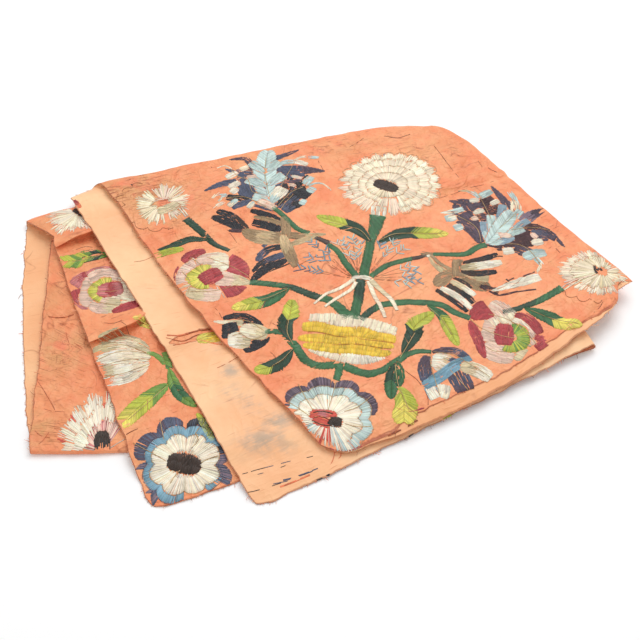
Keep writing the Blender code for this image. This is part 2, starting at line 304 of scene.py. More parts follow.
def noise(x, y, size, seed):
    """Smooth random heights from -1 to 1, with humps about one size apart."""
    heights = np.random.default_rng(seed).uniform(-1, 1, (NOISE_CELLS, NOISE_CELLS))
    u, v = np.broadcast_arrays(np.asarray(x, float) / size, np.asarray(y, float) / size)
    i, j = np.floor(u).astype(int), np.floor(v).astype(int)
    s, t = soft_step(u - i), soft_step(v - j)
    i, i_next, j, j_next = (at % NOISE_CELLS for at in (i, i + 1, j, j + 1))
    low = heights[i, j] * (1 - s) + heights[i_next, j] * s
    high = heights[i, j_next] * (1 - s) + heights[i_next, j_next] * s
    return low * (1 - t) + high * t


def right_of(start, end):
    """The unit vector square to a line in plan, on its right-hand side."""
    along = unit(plane(end) - plane(start))
    return np.array([along[1], -along[0]])


def edge_point(start, end, bow, share):
    """Points on an edge that bows out to the right of its direction."""
    share = share[:, None]
    return plane(start) * (1 - share) + plane(end) * share + right_of(start, end) * bow * bump(share)


def left_edge(quarter, share):
    """The left side of a quarter: first its short shoulder, then the hem down to the tip."""
    shoulder = edge_point(quarter.roll_end, quarter.shoulder, 0.0, share / SHOULDER_AT)
    hem_share = (share - SHOULDER_AT) / (1 - SHOULDER_AT)
    hem = edge_point(quarter.shoulder, quarter.tip, quarter.hem_bow, hem_share)
    return np.where((share < SHOULDER_AT)[:, None], shoulder, hem)


def near_corner(across, down, width, length, radius):
    """1 at a corner, falling to 0 a radius away from it along either edge."""
    one = 1 - np.minimum(across * width / radius, 1)
    other = 1 - np.minimum(down * length / radius, 1)
    return (one * other)[:, None] ** 2


def plan(name, across, down):
    """Where points of a quarter lie on the table: across from the right fold, down from the roll."""
    quarter = QUARTERS[name]
    right = edge_point(quarter.back, quarter.wrap_end, -quarter.wrap_bow, down)
    side = across[:, None]
    point = right * (1 - side) + left_edge(quarter, down) * side
    roll_out = right_of(quarter.roll_end, quarter.back) * -quarter.roll_bow
    front_out = right_of(quarter.tip, quarter.wrap_end) * quarter.front_bow
    point = point + roll_out * (bump(across) * (1 - down) ** 2)[:, None]
    point = point + front_out * (bump(across) * down**2)[:, None]
    width = np.linalg.norm(plane(quarter.wrap_end) - plane(quarter.tip))
    length = np.linalg.norm(plane(quarter.shoulder) - plane(quarter.tip))
    inwards = unit(plane(quarter.tip) - plane(quarter.back))
    point = point + inwards * BACK_PULL * near_corner(across, down, width, length, BACK_ROUND)
    return point - inwards * quarter.pull * near_corner(1 - across, 1 - down, width, length, TIP_ROUND)


def turn_back_plan(across, down):
    """Where the turned-back front of the bottom quarter lies: across as there, down from the fold."""
    fold = plan("bottom", across, np.ones_like(across))
    corner = plan("bottom", np.ones(1), np.ones(1))[0]
    hem = plane(TURN_BACK_END) - corner
    share = 1 - (1 - across) / TURN_BACK_SHARE
    reach = TURN_BACK_LEAST + (np.linalg.norm(hem) - TURN_BACK_LEAST) * share
    return fold + unit(hem) * (reach * down)[:, None]


def place(name, across, down):
    return turn_back_plan(across, down) if name == "turn_back" else plan(name, across, down)


def outline(name, right_name=None):
    """The outline of a layer in plan, as a ring of points, with its own right edge or another's."""
    run = np.arange(EDGE_PARTS) / EDGE_PARTS
    least = 1 - TURN_BACK_SHARE if name == "turn_back" else 0.0
    right, left = np.full(EDGE_PARTS, least), np.ones(EDGE_PARTS)
    across = np.concatenate([right, least + (1 - least) * run, left, 1 - (1 - least) * run])
    down = np.concatenate([1 - run, run * 0, run, run * 0 + 1])
    ring = place(name, across, down)
    if right_name:
        ring[:EDGE_PARTS] = place(right_name, right, 1 - run)
    return ring


def outside(ring, points):
    """How far points in plan lie outside a ring. Inside it, the distance is negative."""
    nearest = np.full(len(points), 1e9)
    crossings = np.zeros(len(points), int)
    for start, end in zip(ring, np.roll(ring, -1, axis=0)):
        edge = end - start
        offset = points - start
        share = np.clip(offset @ edge / (edge @ edge), 0, 1)
        nearest = np.minimum(nearest, np.hypot(*(offset - share[:, None] * edge).T))
        spans = (start[1] > points[:, 1]) != (end[1] > points[:, 1])
        meets = start[0] + edge[0] * (points[:, 1] - start[1]) / (edge[1] or 1.0)
        crossings += spans & (points[:, 0] < meets)
    return np.where(crossings % 2 == 1, -nearest, nearest)


RINGS = {name: outline(name) for name in STACK}
HELD_RINGS = {name: RINGS[name] if name == "turn_back" else outline(name, "top") for name in STACK}


def rest_height(name, points):
    """The height of the middle of a lined layer over points in plan."""
    height = np.full(len(points), FRAME_HALF)
    level = STACK.index(name)
    rings = HELD_RINGS if name == "top" else RINGS
    for below in STACK[:level]:
        past = outside(rings[below], points)
        fall = COVER_FALLS[below]
        height += STEP * soft_step((COVER_MARGIN + fall - past) / fall)
    for loft in LOFTS:
        if STACK.index(loft.lowest) <= level:
            gap = np.hypot(points[:, 0] - loft.x, points[:, 1] - loft.y) / loft.radius
            height += loft.height * np.exp(-gap * gap)
    return height


# The height that a sight line is first taken to meet, and the rounds of looking for the real one
SIGHT_START = 0.012
SIGHT_TRIES = 4


def on_level(px, py, height):
    """Where the sight line through a place in the photograph's frame meets a level, in plan."""
    reach = VIEW_LENS / VIEW_SENSOR * VIEW_SIZE
    right = (np.asarray(px, float) - VIEW_SIZE / 2) / reach
    up = (VIEW_SIZE / 2 - np.asarray(py, float)) / reach
    sine, cosine = np.sin(VIEW_ELEVATION), np.cos(VIEW_ELEVATION)
    fall = up * cosine - sine
    run = (height - VIEW_DISTANCE * sine) / fall
    x = VIEW_TARGET[0] + right * run
    y = VIEW_TARGET[1] - VIEW_DISTANCE * cosine + (up * sine + cosine) * run
    return np.stack([x, y], -1)


def seen(name, px, py):
    """The places in plan, on a layer, that show at places in the photograph's frame."""
    px, py = np.atleast_1d(px), np.atleast_1d(py)
    height = np.full(len(px), SIGHT_START)
    for _ in range(SIGHT_TRIES):
        points = on_level(px, py, height)
        height = rest_height(name, points)
    return points


# The sizes of the small and large puckers, how high the large ones are against the small, and what is
# left of both on the bottom quarter, which carries no stitches. Under them lies a slow swell.
PUCKER_SMALL = 11 * MM
PUCKER_LARGE = 27 * MM
LARGE_SHARE = 0.7
BOTTOM_SHARE = 0.4
SWELL_SIZE = 70 * MM
SWELL_RISE = 0.8 * MM


def crease_height(name, points):
    """The creases of a layer, and the puckers that its stitching draws."""
    height = np.zeros(len(points))
    for *places, width, rise in CREASES.get(name, ()):
        ends = seen(name, places[::2], places[1::2])
        length = np.linalg.norm(ends[1] - ends[0])
        along = unit(ends[1] - ends[0])
        offset = points - ends[0]
        run = offset @ along
        bend = noise(run, 0 * run, CREASE_BENDS, 7) * CREASE_WANDER * MM
        side = (offset @ np.array([-along[1], along[0]]) + bend) / (width * MM)
        past = np.maximum(np.maximum(-run, run - length), 0) / CREASE_FADE
        height += rise * MM * np.exp(-side**2 - past**2)
    seed = 20 + STACK.index(name)
    pucker = bpy.context.scene.panel_cloth.pucker * (BOTTOM_SHARE if name == "bottom" else 1.0)
    x, y = points.T
    small, large = noise(x, y, PUCKER_SMALL, seed), noise(x, y, PUCKER_LARGE, seed + 10)
    height += pucker * (small + LARGE_SHARE * large)
    return height + SWELL_RISE * noise(x, y, SWELL_SIZE, seed + 20)


def tuck_share(tuck, length, across, down):
    """How much of a tuck's push and height each point gets."""
    distance = (tuck.at + tuck.skew * (1 - across) - down) * length
    fade = 1 - soft_step((1 - across - tuck.reach) / tuck.fade)
    return np.exp(-((distance / tuck.width) ** 2)) * fade


def hem_wander(across, down, seed):
    """How far the left and front hems wander: along across and along down, in metres."""
    hem = bpy.context.scene.panel_cloth.hem

    def waves(run, seed):
        return noise(run, 0 * run, HEM_LONG, seed) + 0.6 * noise(run, 0 * run, HEM_SHORT, seed + 1)

    def near(share):
        return soft_step((share - (1 - HEM_BAND)) / HEM_BAND)

    left, front = waves(down * QUARTER_LENGTH, seed), waves(across * QUARTER_WIDTH, seed + 2)
    return hem * left * near(across), hem * front * near(down)


def layer(name, across, down):
    """The middle of a lined layer, with its tucks and creases, as points in space."""
    here = place(name, across, down)
    forward = unit(place(name, across, down + 0.01) - here)
    sideways = unit(here - place(name, across - 0.01, down))
    ends = place(name, np.ones(2), np.array([SHOULDER_AT, 1.0]))
    length = np.linalg.norm(ends[1] - ends[0])
    height = rest_height(name, here) + crease_height(name, here)
    for tuck in TUCKS:
        if tuck.quarter == name:
            share = tuck_share(tuck, length, across, down)
            here = here + forward * (tuck.push * share)[:, None]
            rise = soft_step((1 - across) / max(tuck.reach, 1e-6))
            height = height + tuck.height * share * (tuck.at_hem + (1 - tuck.at_hem) * rise)
    out, on = hem_wander(across, down, 40 + 4 * STACK.index(name))
    if name in ("bottom", "turn_back"):
        on = on * 0
    if name in ("top", "bottom"):
        dent = np.exp(-(((across - DENT_AT) / DENT_WIDE) ** 2))
        on = on - DENT_DEEP * dent * soft_step((down - DENT_FROM) / DENT_RUN)
    here = here + sideways * out[:, None] + forward * on[:, None]
    return np.column_stack([here, height])


def cloth(right_turn, across, back_turn, down):
    """The middle surface of the lined cloth.

    right_turn is the angle round the right fold, from a quarter turn in the upper pair of quarters
    to minus a quarter turn in the lower pair, and back_turn the angle round the roll at the back,
    from the outer quarters (top and bottom) to the inner ones.
    """
    upper, outer = (1 + np.sin(right_turn)) / 2, (1 + np.sin(back_turn)) / 2
    top, second = layer("top", across, down), layer("second", across, down)
    third, bottom = layer("third", across, down), layer("bottom", across, down)
    point = top * (upper * outer)[:, None] + second * (upper * (1 - outer))[:, None]
    point = point + third * ((1 - upper) * (1 - outer))[:, None] + bottom * ((1 - upper) * outer)[:, None]
    wrap = (top[:, 2] - bottom[:, 2]) / 2 * outer * (1 - WRAP_FLAT * down**6)
    wrap += (second[:, 2] - third[:, 2]) / 2 * (1 - outer)
    roll = (top[:, 2] - second[:, 2]) / 2 * upper + (third[:, 2] - bottom[:, 2]) / 2 * (1 - upper)
    wrap_out = -right_of(QUARTERS["second"].back, QUARTERS["second"].wrap_end)
    roll_out = -right_of(QUARTERS["top"].roll_end, QUARTERS["top"].back)
    point[:, :2] += wrap_out * (wrap * np.cos(right_turn))[:, None]
    point[:, :2] += roll_out * (roll * np.cos(back_turn))[:, None]
    return point


Grid = namedtuple("Grid", "turn share")
QUARTER_TURN = np.pi / 2
ARC_PARTS = 8

# The right part of the lower pair is out of sight, and its lines stand this many cells apart. The rest
# of that pair has this many times the lines that its cells would give, and so has each half of a slit
# quarter.
HIDDEN_SHARE = 0.68
HIDDEN_CELLS = 4
LOWER_DENSITY = 1.5
INNER_DENSITY = 0.9


def across_lines(cell):
    """The lines of the grid that run down the quarters, from the left hem of the upper pair round
    the right fold to the left hem of the lower pair, whose right part is out of sight."""
    cells = QUARTER_WIDTH / cell
    upper = np.linspace(1, 0, round(cells) + 1)
    hidden = np.linspace(0, HIDDEN_SHARE, round(cells * HIDDEN_SHARE / HIDDEN_CELLS) + 1)
    shown = np.linspace(HIDDEN_SHARE, 1, round(cells * (1 - HIDDEN_SHARE) * LOWER_DENSITY) + 1)
    lines = [Grid(QUARTER_TURN, share) for share in upper]
    lines += [Grid(QUARTER_TURN - np.pi * i / ARC_PARTS, 0.0) for i in range(1, ARC_PARTS)]
    return lines + [Grid(-QUARTER_TURN, share) for share in (*hidden, *shown[1:])]


def down_lines(cell):
    """The lines of the grid that run across the quarters, from the front hem of the outer pair round
    the roll at the back to the front hem of the inner pair."""
    cells = QUARTER_LENGTH / cell
    outer = np.append(np.linspace(0, 1 - RIM_SHARE, round(cells) - 2), 1 - RIM_SHARE / 2)
    before = np.linspace(0, SPLIT_AT - SPLIT_HALF, round(cells * SPLIT_AT * INNER_DENSITY) + 1)
    after = np.linspace(SPLIT_AT + SPLIT_HALF, 1, round(cells * (1 - SPLIT_AT) * INNER_DENSITY) + 1)
    lines = [Grid(QUARTER_TURN, share) for share in (1.0, *outer[::-1])]
    lines += [Grid(QUARTER_TURN - np.pi * i / ARC_PARTS, 0.0) for i in range(1, ARC_PARTS)]
    return lines + [Grid(-QUARTER_TURN, share) for share in (*before, *after)]


def drawn_down(right_turn, across, back_turn, down):
    """The rows, drawn together at the rim's two ends and at the two ends of the split."""
    inwards = (np.minimum(across, 1 - across) - RIM_CLOSED) / RIM_TAPER
    narrow = RIM_AT_ENDS + (1 - RIM_AT_ENDS) * soft_step(inwards)
    narrow = narrow * (1 + RIM_UNEVEN * noise(across * QUARTER_WIDTH, 0 * across, 0.012, 3))
    rim = np.where(down >= 1 - RIM_SHARE - 1e-6, 1 - (1 - down) * narrow, down)
    along = (across - SPLIT_FROM) / (SPLIT_TO - SPLIT_FROM)
    lens = np.clip(bump(np.clip(along, 0, 1)) * 1.3, SPLIT_LEAST, 1)
    lens = lens * (1 + SPLIT_UNEVEN * noise(across * QUARTER_WIDTH, np.sign(down - SPLIT_AT), 0.006, 4))
    close = np.exp(-(((down - SPLIT_AT) / SPLIT_DRAWS) ** 2))
    split = SPLIT_AT + (down - SPLIT_AT) * (1 - close * (1 - lens))
    return np.where(back_turn > 0, np.where(right_turn > 0, rim, down), split)


# The quarter of a face, by whether it is in the upper pair and in the outer pair
QUARTER_OF = {
    (True, True): "top", (True, False): "second", (False, False): "third", (False, True): "bottom",
}


def grid_faces(columns, rows):
    """The faces between the lines of the grid, the layer of each, and which lack silk or lining."""
    quads, layers, no_silk, no_lining = [], [], set(), set()
    for i, (left, right) in enumerate(zip(columns, columns[1:])):
        upper = left.turn > 0 and right.turn > -QUARTER_TURN
        flat = abs(left.turn) == abs(right.turn) == QUARTER_TURN
        middle = (left.share + right.share) / 2
        for j, (near, far) in enumerate(zip(rows, rows[1:])):
            outer = near.turn > 0 and far.turn > -QUARTER_TURN
            rim = far.share >= 1 - RIM_SHARE - 1e-6 and near.turn > 0
            if upper and outer and flat and rim and middle > RIM_CLOSED:
                no_silk.add(len(quads))
            split = abs(near.share - SPLIT_AT + SPLIT_HALF) < 1e-6 and near.turn < 0
            if upper and split and SPLIT_FROM < middle < SPLIT_TO:
                no_lining.add(len(quads))
            layers.append(QUARTER_OF[upper, outer])
            start = i * len(rows) + j
            quads.append((start, start + len(rows), start + len(rows) + 1, start + 1))
    return quads, layers, no_silk, no_lining


def turned_front(across, cell):
    """The turned-back front in lines along its fold: each one's turn, share of the way down and points."""
    low = layer("bottom", across, np.ones_like(across))
    before = layer("bottom", across, np.full_like(across, 1 - HEM_BAND))
    front = unit(low[:, :2] - before[:, :2])
    steps = [(np.pi * i / ARC_PARTS, 0.0) for i in range(1, ARC_PARTS)]
    steps += [(np.pi, down) for down in np.linspace(0, 1, round(TURN_BACK_REACH / cell) + 1)]
    for turn, down in steps:
        high = layer("turn_back", across, np.full_like(across, down))
        rise = (1 - np.cos(turn)) / 2
        points = low * (1 - rise) + high * rise
        points[:, :2] += front * ((high[:, 2:] - low[:, 2:]) / 2 * np.sin(turn))
        yield turn, down, points


Cloth = namedtuple("Cloth", "points normals uv quads layers silk_quads lining_quads")


@lru_cache(maxsize=1)
def folded_cloth():
    """The middle surface of the whole folded cloth, with the turned-back front."""
    cell = bpy.context.scene.panel_cloth.cell
    columns, rows = across_lines(cell), down_lines(cell)
    right_turn, across = (np.repeat(values, len(rows)) for values in np.array(columns).T)
    back_turn, down = (np.tile(values, len(columns)) for values in np.array(rows).T)
    down = drawn_down(right_turn, across, back_turn, down)
    points = cloth(right_turn, across, back_turn, down)
    side, end = np.sign(right_turn + 1e-9), np.sign(back_turn + 1e-9)
    uv = np.column_stack([side * across * QUARTER_WIDTH, -end * down * QUARTER_LENGTH])
    quads, layers, no_silk, no_lining = grid_faces(columns, rows)
    kept = [i for i, column in enumerate(columns)
            if column.turn == -QUARTER_TURN and column.share >= 1 - TURN_BACK_SHARE]
    last = [i * len(rows) for i in kept]
    across = np.array([columns[i].share for i in kept])
    for turn, down, more in turned_front(across, cell):
        new = [len(points) + k for k in range(len(more))]
        points = np.vstack([points, more])
        cut = np.column_stack([-across * QUARTER_WIDTH, 0 * across - (1 + down) * QUARTER_LENGTH])
        uv = np.vstack([uv, cut])
        for k in range(len(new) - 1):
            quads.append((new[k], new[k + 1], last[k + 1], last[k]))
            layers.append("turn_back" if turn == np.pi else "bottom")
        last = new
    quads = np.array(quads)
    corners = points[quads]
    squares = unit(np.cross(corners[:, 2] - corners[:, 0], corners[:, 3] - corners[:, 1]))
    normals = np.zeros_like(points)
    for corner in range(4):
        np.add.at(normals, quads[:, corner], squares)
    silk_quads = np.array([k for k in range(len(quads)) if k not in no_silk])
    lining_quads = np.array([k for k in range(len(quads)) if k not in no_lining])
    return Cloth(points, unit(normals), uv, quads, np.array(layers), silk_quads, lining_quads)


def skin(offset):
    """The points of the cloth moved out along its face side, and never below the table."""
    whole = folded_cloth()
    moved = whole.points + whole.normals * offset
    settings = bpy.context.scene.panel_cloth
    moved[:, 2] = np.maximum(moved[:, 2] - FRAME_HALF + settings.gap / 2 + settings.silk, 0.0)
    return moved


@lru_cache(maxsize=None)
def top_of(name):
    """The upper face of a layer, to lay stitches and threads on."""
    settings = bpy.context.scene.panel_cloth
    lining_up = name in ("second", "bottom")
    offset = settings.gap / 2 + (settings.lining if lining_up else settings.silk)
    whole = folded_cloth()
    chosen = whole.quads[whole.layers == name]
    points = skin(-offset if lining_up else offset)
    return BVHTree.FromPolygons([Vector(p) for p in points], chosen.tolist())


def drape(name, points):
    """Points in plan laid on a layer: their places in space, its normals, and which are on it."""
    tree = top_of(name)
    places, normals = np.zeros((len(points), 3)), np.zeros((len(points), 3))
    on = np.ones(len(points), bool)
    missed = rest_height(name, points)
    for k, (x, y) in enumerate(points.tolist()):
        hit, normal, _, _ = tree.ray_cast(Vector((x, y, 0.2)), Vector((0, 0, -1)))
        if hit is None:
            hit, normal, on[k] = Vector((x, y, missed[k])), Vector((0, 0, 1)), False
        places[k] = hit
        normals[k] = normal if normal.z > 0 else -normal
    return places, normals, on


# Edges of a sheet that turn by more than this are shaded sharp
SHARP_FROM = np.radians(60)


def new_piece(name, mesh, finish):
    """A mesh as an object at the origin that rides on the one body of the frame."""
    mesh.materials.append(finish)
    piece = bpy.data.objects.new(name, mesh)
    bpy.context.scene.collection.objects.link(piece)
    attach(piece, "root")
    return piece


def lined_sheet(name, chosen, low, high, finish):
    """One layer of cloth as a closed sheet between two skins, with its cut's measures as its UVs."""
    whole = folded_cloth()
    quads = whole.quads[chosen]
    used = np.unique(quads)
    index = np.zeros(len(whole.points), int)
    index[used] = np.arange(len(used))
    count = len(used)
    over = index[quads]
    # A dictionary keeps the edges in order, and an edge without its opposite is on a hem or tear
    edges = dict.fromkeys(edge for a, b, c, d in over.tolist() for edge in ((a, b), (b, c), (c, d), (d, a)))
    rim = [(end, start, start + count, end + count) for start, end in edges if (end, start) not in edges]
    places = np.vstack([skin(high)[used], skin(low)[used]])
    faces = over.tolist() + (over[:, ::-1] + count).tolist() + rim
    mesh = bpy.data.meshes.new(name)
    mesh.from_pydata(places.tolist(), [], faces)
    mesh.polygons.foreach_set("use_smooth", [True] * len(faces))
    piece = new_piece(name, mesh, finish)
    on_hem = np.zeros(count, np.float32)
    on_hem[[corner for face in rim for corner in face[:2]]] = 1
    mesh.attributes.new("hem", "FLOAT", "POINT").data.foreach_set("value", np.tile(on_hem, 2))
    uv = np.vstack([whole.uv[used]] * 2)
    corners = np.zeros(len(mesh.loops), int)
    mesh.loops.foreach_get("vertex_index", corners)
    mesh.uv_layers.new(name="cut").data.foreach_set("uv", uv[corners].ravel())
    mesh.set_sharp_from_angle(angle=SHARP_FROM)
    return piece, used


Spot = namedtuple("Spot", "quarter px py wide deep turn strength")

# Wear on the silk: middle in the photograph's frame, half width and depth in millimetres, turn in
# degrees and strength
WORN = (
    Spot("top", 150, 196, 66, 44, -8, 1.0),
    Spot("top", 118, 192, 26, 26, 0, 1.0),
    Spot("top", 330, 150, 120, 22, 8, 0.5),
    Spot("top", 430, 150, 60, 40, 0, 0.45),
    Spot("top", 175, 215, 20, 30, 0, 0.7),
    Spot("top", 470, 190, 45, 8, 10, 0.5),
    Spot("third", 110, 262, 60, 16, 0, 0.5),
    Spot("third", 50, 225, 30, 12, 0, 0.5),
    Spot("turn_back", 62, 352, 34, 34, 0, 0.9),
    Spot("turn_back", 50, 300, 22, 40, 0, 0.5),
    Spot("turn_back", 40, 430, 24, 20, 0, 0.9),
)

# Dark stitching that shows through the thin lining
GHOSTS = (
    Spot("second", 231, 370, 13, 10, 25, 0.8),
    Spot("second", 229, 392, 16, 20, 0, 0.45),
    Spot("second", 249, 402, 12, 22, 50, 0.5),
    Spot("second", 279, 420, 22, 10, 20, 0.75),
    Spot("second", 262, 439, 30, 15, 10, 0.75),
    Spot("second", 285, 448, 16, 8, 20, 0.5),
    Spot("second", 222, 350, 20, 8, 0, 0.3),
)

# Where the lining is thin and the silk behind it shows
BROWNED = (
    Spot("bottom", 36, 250, 60, 90, 0, 0.55),
    Spot("bottom", 34, 330, 40, 60, 0, 0.60),
    Spot("bottom", 30, 420, 40, 70, 0, 0.45),
    Spot("second", 300, 470, 60, 14, 30, 0.35),
    Spot("second", 90, 190, 16, 12, 0, 0.35),
    Spot("top", 480, 390, 260, 260, 0, 0.85),
)


def spotted(points, layers_at, spots):
    """How strongly a table of spots marks each point of the cloth."""
    marks = np.zeros(len(points))
    for spot in spots:
        middle = seen(spot.quarter, spot.px, spot.py)[0]
        turn = np.radians(spot.turn)
        offset = points[:, :2] - middle
        u = (offset @ np.array([np.cos(turn), np.sin(turn)])) / (spot.wide * MM)
        v = (offset @ np.array([-np.sin(turn), np.cos(turn)])) / (spot.deep * MM)
        here = np.exp(-(u * u + v * v)) * spot.strength
        marks = np.maximum(marks, np.where(layers_at == spot.quarter, here, 0))
    return marks


def paint(piece, used, name, spots):
    """Writes a table of spots as a point attribute of a sheet."""
    whole = folded_cloth()
    layers_at = np.empty(len(whole.points), object)
    for corner in range(4):
        layers_at[whole.quads[:, corner]] = whole.layers
    marks = spotted(whole.points, layers_at, spots)[used]
    attribute = piece.data.attributes.new(name, "FLOAT", "POINT")
    attribute.data.foreach_set("value", np.tile(marks, 2).astype(np.float32))


def new_material(name):
    """A new material, its tree and its shader."""
    made = bpy.data.materials.new(name)
    made.use_nodes = True
    return made, made.node_tree, made.node_tree.nodes["Principled BSDF"]


def surface(tree, shader, colour, relief, distance, strength, roughness, sheen, sheen_roughness):
    """Gives a shader its colour, the bumps of its relief, its roughness and its sheen."""
    raised = add_node(tree, "ShaderNodeBump", Strength=strength, Distance=distance, Height=relief)
    tree.links.new(colour, shader.inputs["Base Color"])
    tree.links.new(raised.outputs[0], shader.inputs["Normal"])
    shader.inputs["Roughness"].default_value = roughness
    shader.inputs["Sheen Weight"].default_value = sheen
    shader.inputs["Sheen Roughness"].default_value = sheen_roughness


def total(tree, *terms):
    """The sum of sockets, each times its share."""
    value = 0.0
    for socket, share in terms:
        value = add_node(tree, "ShaderNodeMath", {"operation": "MULTIPLY_ADD"}, input_0=socket,
                         input_1=share, input_2=value).outputs[0]
    return value


def ramp(tree, socket, low, high, at_low=0.0, at_high=1.0):
    """A socket's value spread evenly from one range to another, and held at its ends."""
    return add_node(tree, "ShaderNodeMapRange", input_0=socket, input_1=low, input_2=high,
                    input_3=at_low, input_4=at_high).outputs[0]


def both(tree, one, other):
    """The product of two sockets."""
    node = add_node(tree, "ShaderNodeMath", {"operation": "MULTIPLY"}, input_0=one, input_1=other)
    return node.outputs[0]


def mixed(tree, share, one, other):
    """One colour mixed into another."""
    node = add_node(tree, "ShaderNodeMix", {"data_type": "RGBA"}, Factor=share, A=one, B=other)
    return node.outputs["Result"]


def cloud(tree, vector, size, detail=3.0, bend=0.0):
    """Soft noise with humps about one size apart, in metres."""
    node = add_node(tree, "ShaderNodeTexNoise", Vector=vector, Scale=0.6 / size, Detail=detail,
                    Roughness=0.55, Distortion=bend)
    return node.outputs["Fac"]


def wrinkle(tree, vector, size, wide):
    """Thin wandering ridges about one size apart: 1 on a ridge, and 0 where there is none."""
    off = add_node(tree, "ShaderNodeMath", {"operation": "SUBTRACT"},
                   input_0=cloud(tree, vector, size, 2.0, 0.9), input_1=0.5)
    away = add_node(tree, "ShaderNodeMath", {"operation": "ABSOLUTE"}, input_0=off.outputs[0])
    return ramp(tree, away.outputs[0], 0.0, wide, 1.0, 0.0)


def streaks(tree, cut, long, apart, detail=3.0):
    """Noise drawn out along the weft, from its length and spacing in metres."""
    drawn = add_node(tree, "ShaderNodeMapping", Vector=cut, Scale=(1 / long, 1 / apart, 1.0))
    return cloud(tree, drawn.outputs[0], 0.6, detail)


def marks_of(tree, name):
    """A painted attribute of a sheet."""
    return add_node(tree, "ShaderNodeAttribute", {"attribute_name": name}).outputs["Fac"]


def frayed_and_shaded_edge(tree, vector):
    """1 within about a millimetre of a hem, where bare threads and dirt show and painted shade darkens the
    edge.
    """
    near = total(tree, (cloud(tree, vector, 0.003), 0.3), (marks_of(tree, "hem"), 1.0))
    return ramp(tree, near, 0.86, 0.98)


def worn_silk():
    """Antique plain-weave silk: soft sheen, faded in patches, crumpled, its weft split in fine cracks.

    Its noises lie mostly between 0.3 and 0.7, and the ramps spread out the part that each mark needs.
    """
    settings = bpy.context.scene.panel_cloth
    made, tree, shader = new_material("worn_silk_taffeta")
    cut = add_node(tree, "ShaderNodeUVMap", {"uv_map": "cut"}).outputs[0]
    place_in = add_node(tree, "ShaderNodeTexCoord").outputs["Object"]
    worn = marks_of(tree, "worn")
    fade = total(tree, (cloud(tree, place_in, 0.045, 4.0), 0.6), (cloud(tree, place_in, 0.009), 0.4))
    colour = mixed(tree, ramp(tree, fade, 0.40, 0.62), linear(settings.silk_colour),
                   linear(settings.silk_faded))
    # Where the silk is worn it has browned, between bare patches that are still red
    colour = mixed(tree, both(tree, worn, ramp(tree, cloud(tree, place_in, 0.016), 0.35, 0.5)), colour,
                   linear("#DC9C66"))
    red = both(tree, total(tree, (worn, 0.75)), ramp(tree, cloud(tree, place_in, 0.022), 0.53, 0.62))
    colour = mixed(tree, red, colour, linear("#EE7A58"))
    # Weft cracks about 2 mm apart and 20 mm long, more of them where the silk is worn
    split = total(tree, (streaks(tree, cut, 0.020, 0.0020), 1.0), (worn, 0.10),
                  (cloud(tree, place_in, 0.03), 0.25))
    crack = ramp(tree, split, 0.78, 0.84)
    fine = wrinkle(tree, place_in, 0.007, 0.035)
    broken = ramp(tree, cloud(tree, place_in, 0.012), 0.46, 0.58)
    crackle = both(tree, both(tree, fine, broken), total(tree, (worn, 0.75), (fade, 0.16)))
    # Dark lines along wandering creases are painted crease shade. They are laid in the same dark brown as
    # the weft cracks and crackle, which are real wear.
    fold = both(tree, wrinkle(tree, place_in, 0.055, 0.014),
                ramp(tree, cloud(tree, place_in, 0.02), 0.5, 0.6))
    dark = total(tree, (crack, 0.55), (crackle, 1.0), (fold, 0.55))
    colour = mixed(tree, ramp(tree, dark, 0.0, 1.0), colour, linear("#A8512F"))
    # The hems darken to a deep brown: partly a frayed, dirty edge and partly painted shade along the edge.
    hem = frayed_and_shaded_edge(tree, place_in)
    frayed_and_shaded = both(tree, hem, ramp(tree, cloud(tree, place_in, 0.010), 0.3, 0.55, 0.3, 0.8))
    colour = mixed(tree, frayed_and_shaded, colour, linear("#A24A2C"))
    # Heights in millimetres. The weave is drawn at 0.8 mm, coarser than its threads, so that it shows
    weave = add_node(tree, "ShaderNodeMapping", Vector=cut, Scale=(1250.0, 1250.0, 1.0))
    weave = add_node(tree, "ShaderNodeTexNoise", Vector=weave.outputs[0], Scale=1.0, Detail=1.0)
    ribs = ramp(tree, streaks(tree, cut, 0.035, 0.0035, 1.0), 0.35, 0.65)
    relief = total(tree, (wrinkle(tree, place_in, 0.050, 0.10), 1.30),
                   (wrinkle(tree, place_in, 0.017, 0.10), 0.60), (fine, 0.20),
                   (cloud(tree, place_in, 0.012, 4.0), 2.0), (ribs, 0.14),
                   (weave.outputs["Fac"], 0.10), (crack, -0.25), (hem, -0.3))
    surface(tree, shader, colour, relief, MM, 1.0, 0.5, 0.10, 0.4)
    shader.inputs["Sheen Tint"].default_value = linear("#FFD9C2")
    return made


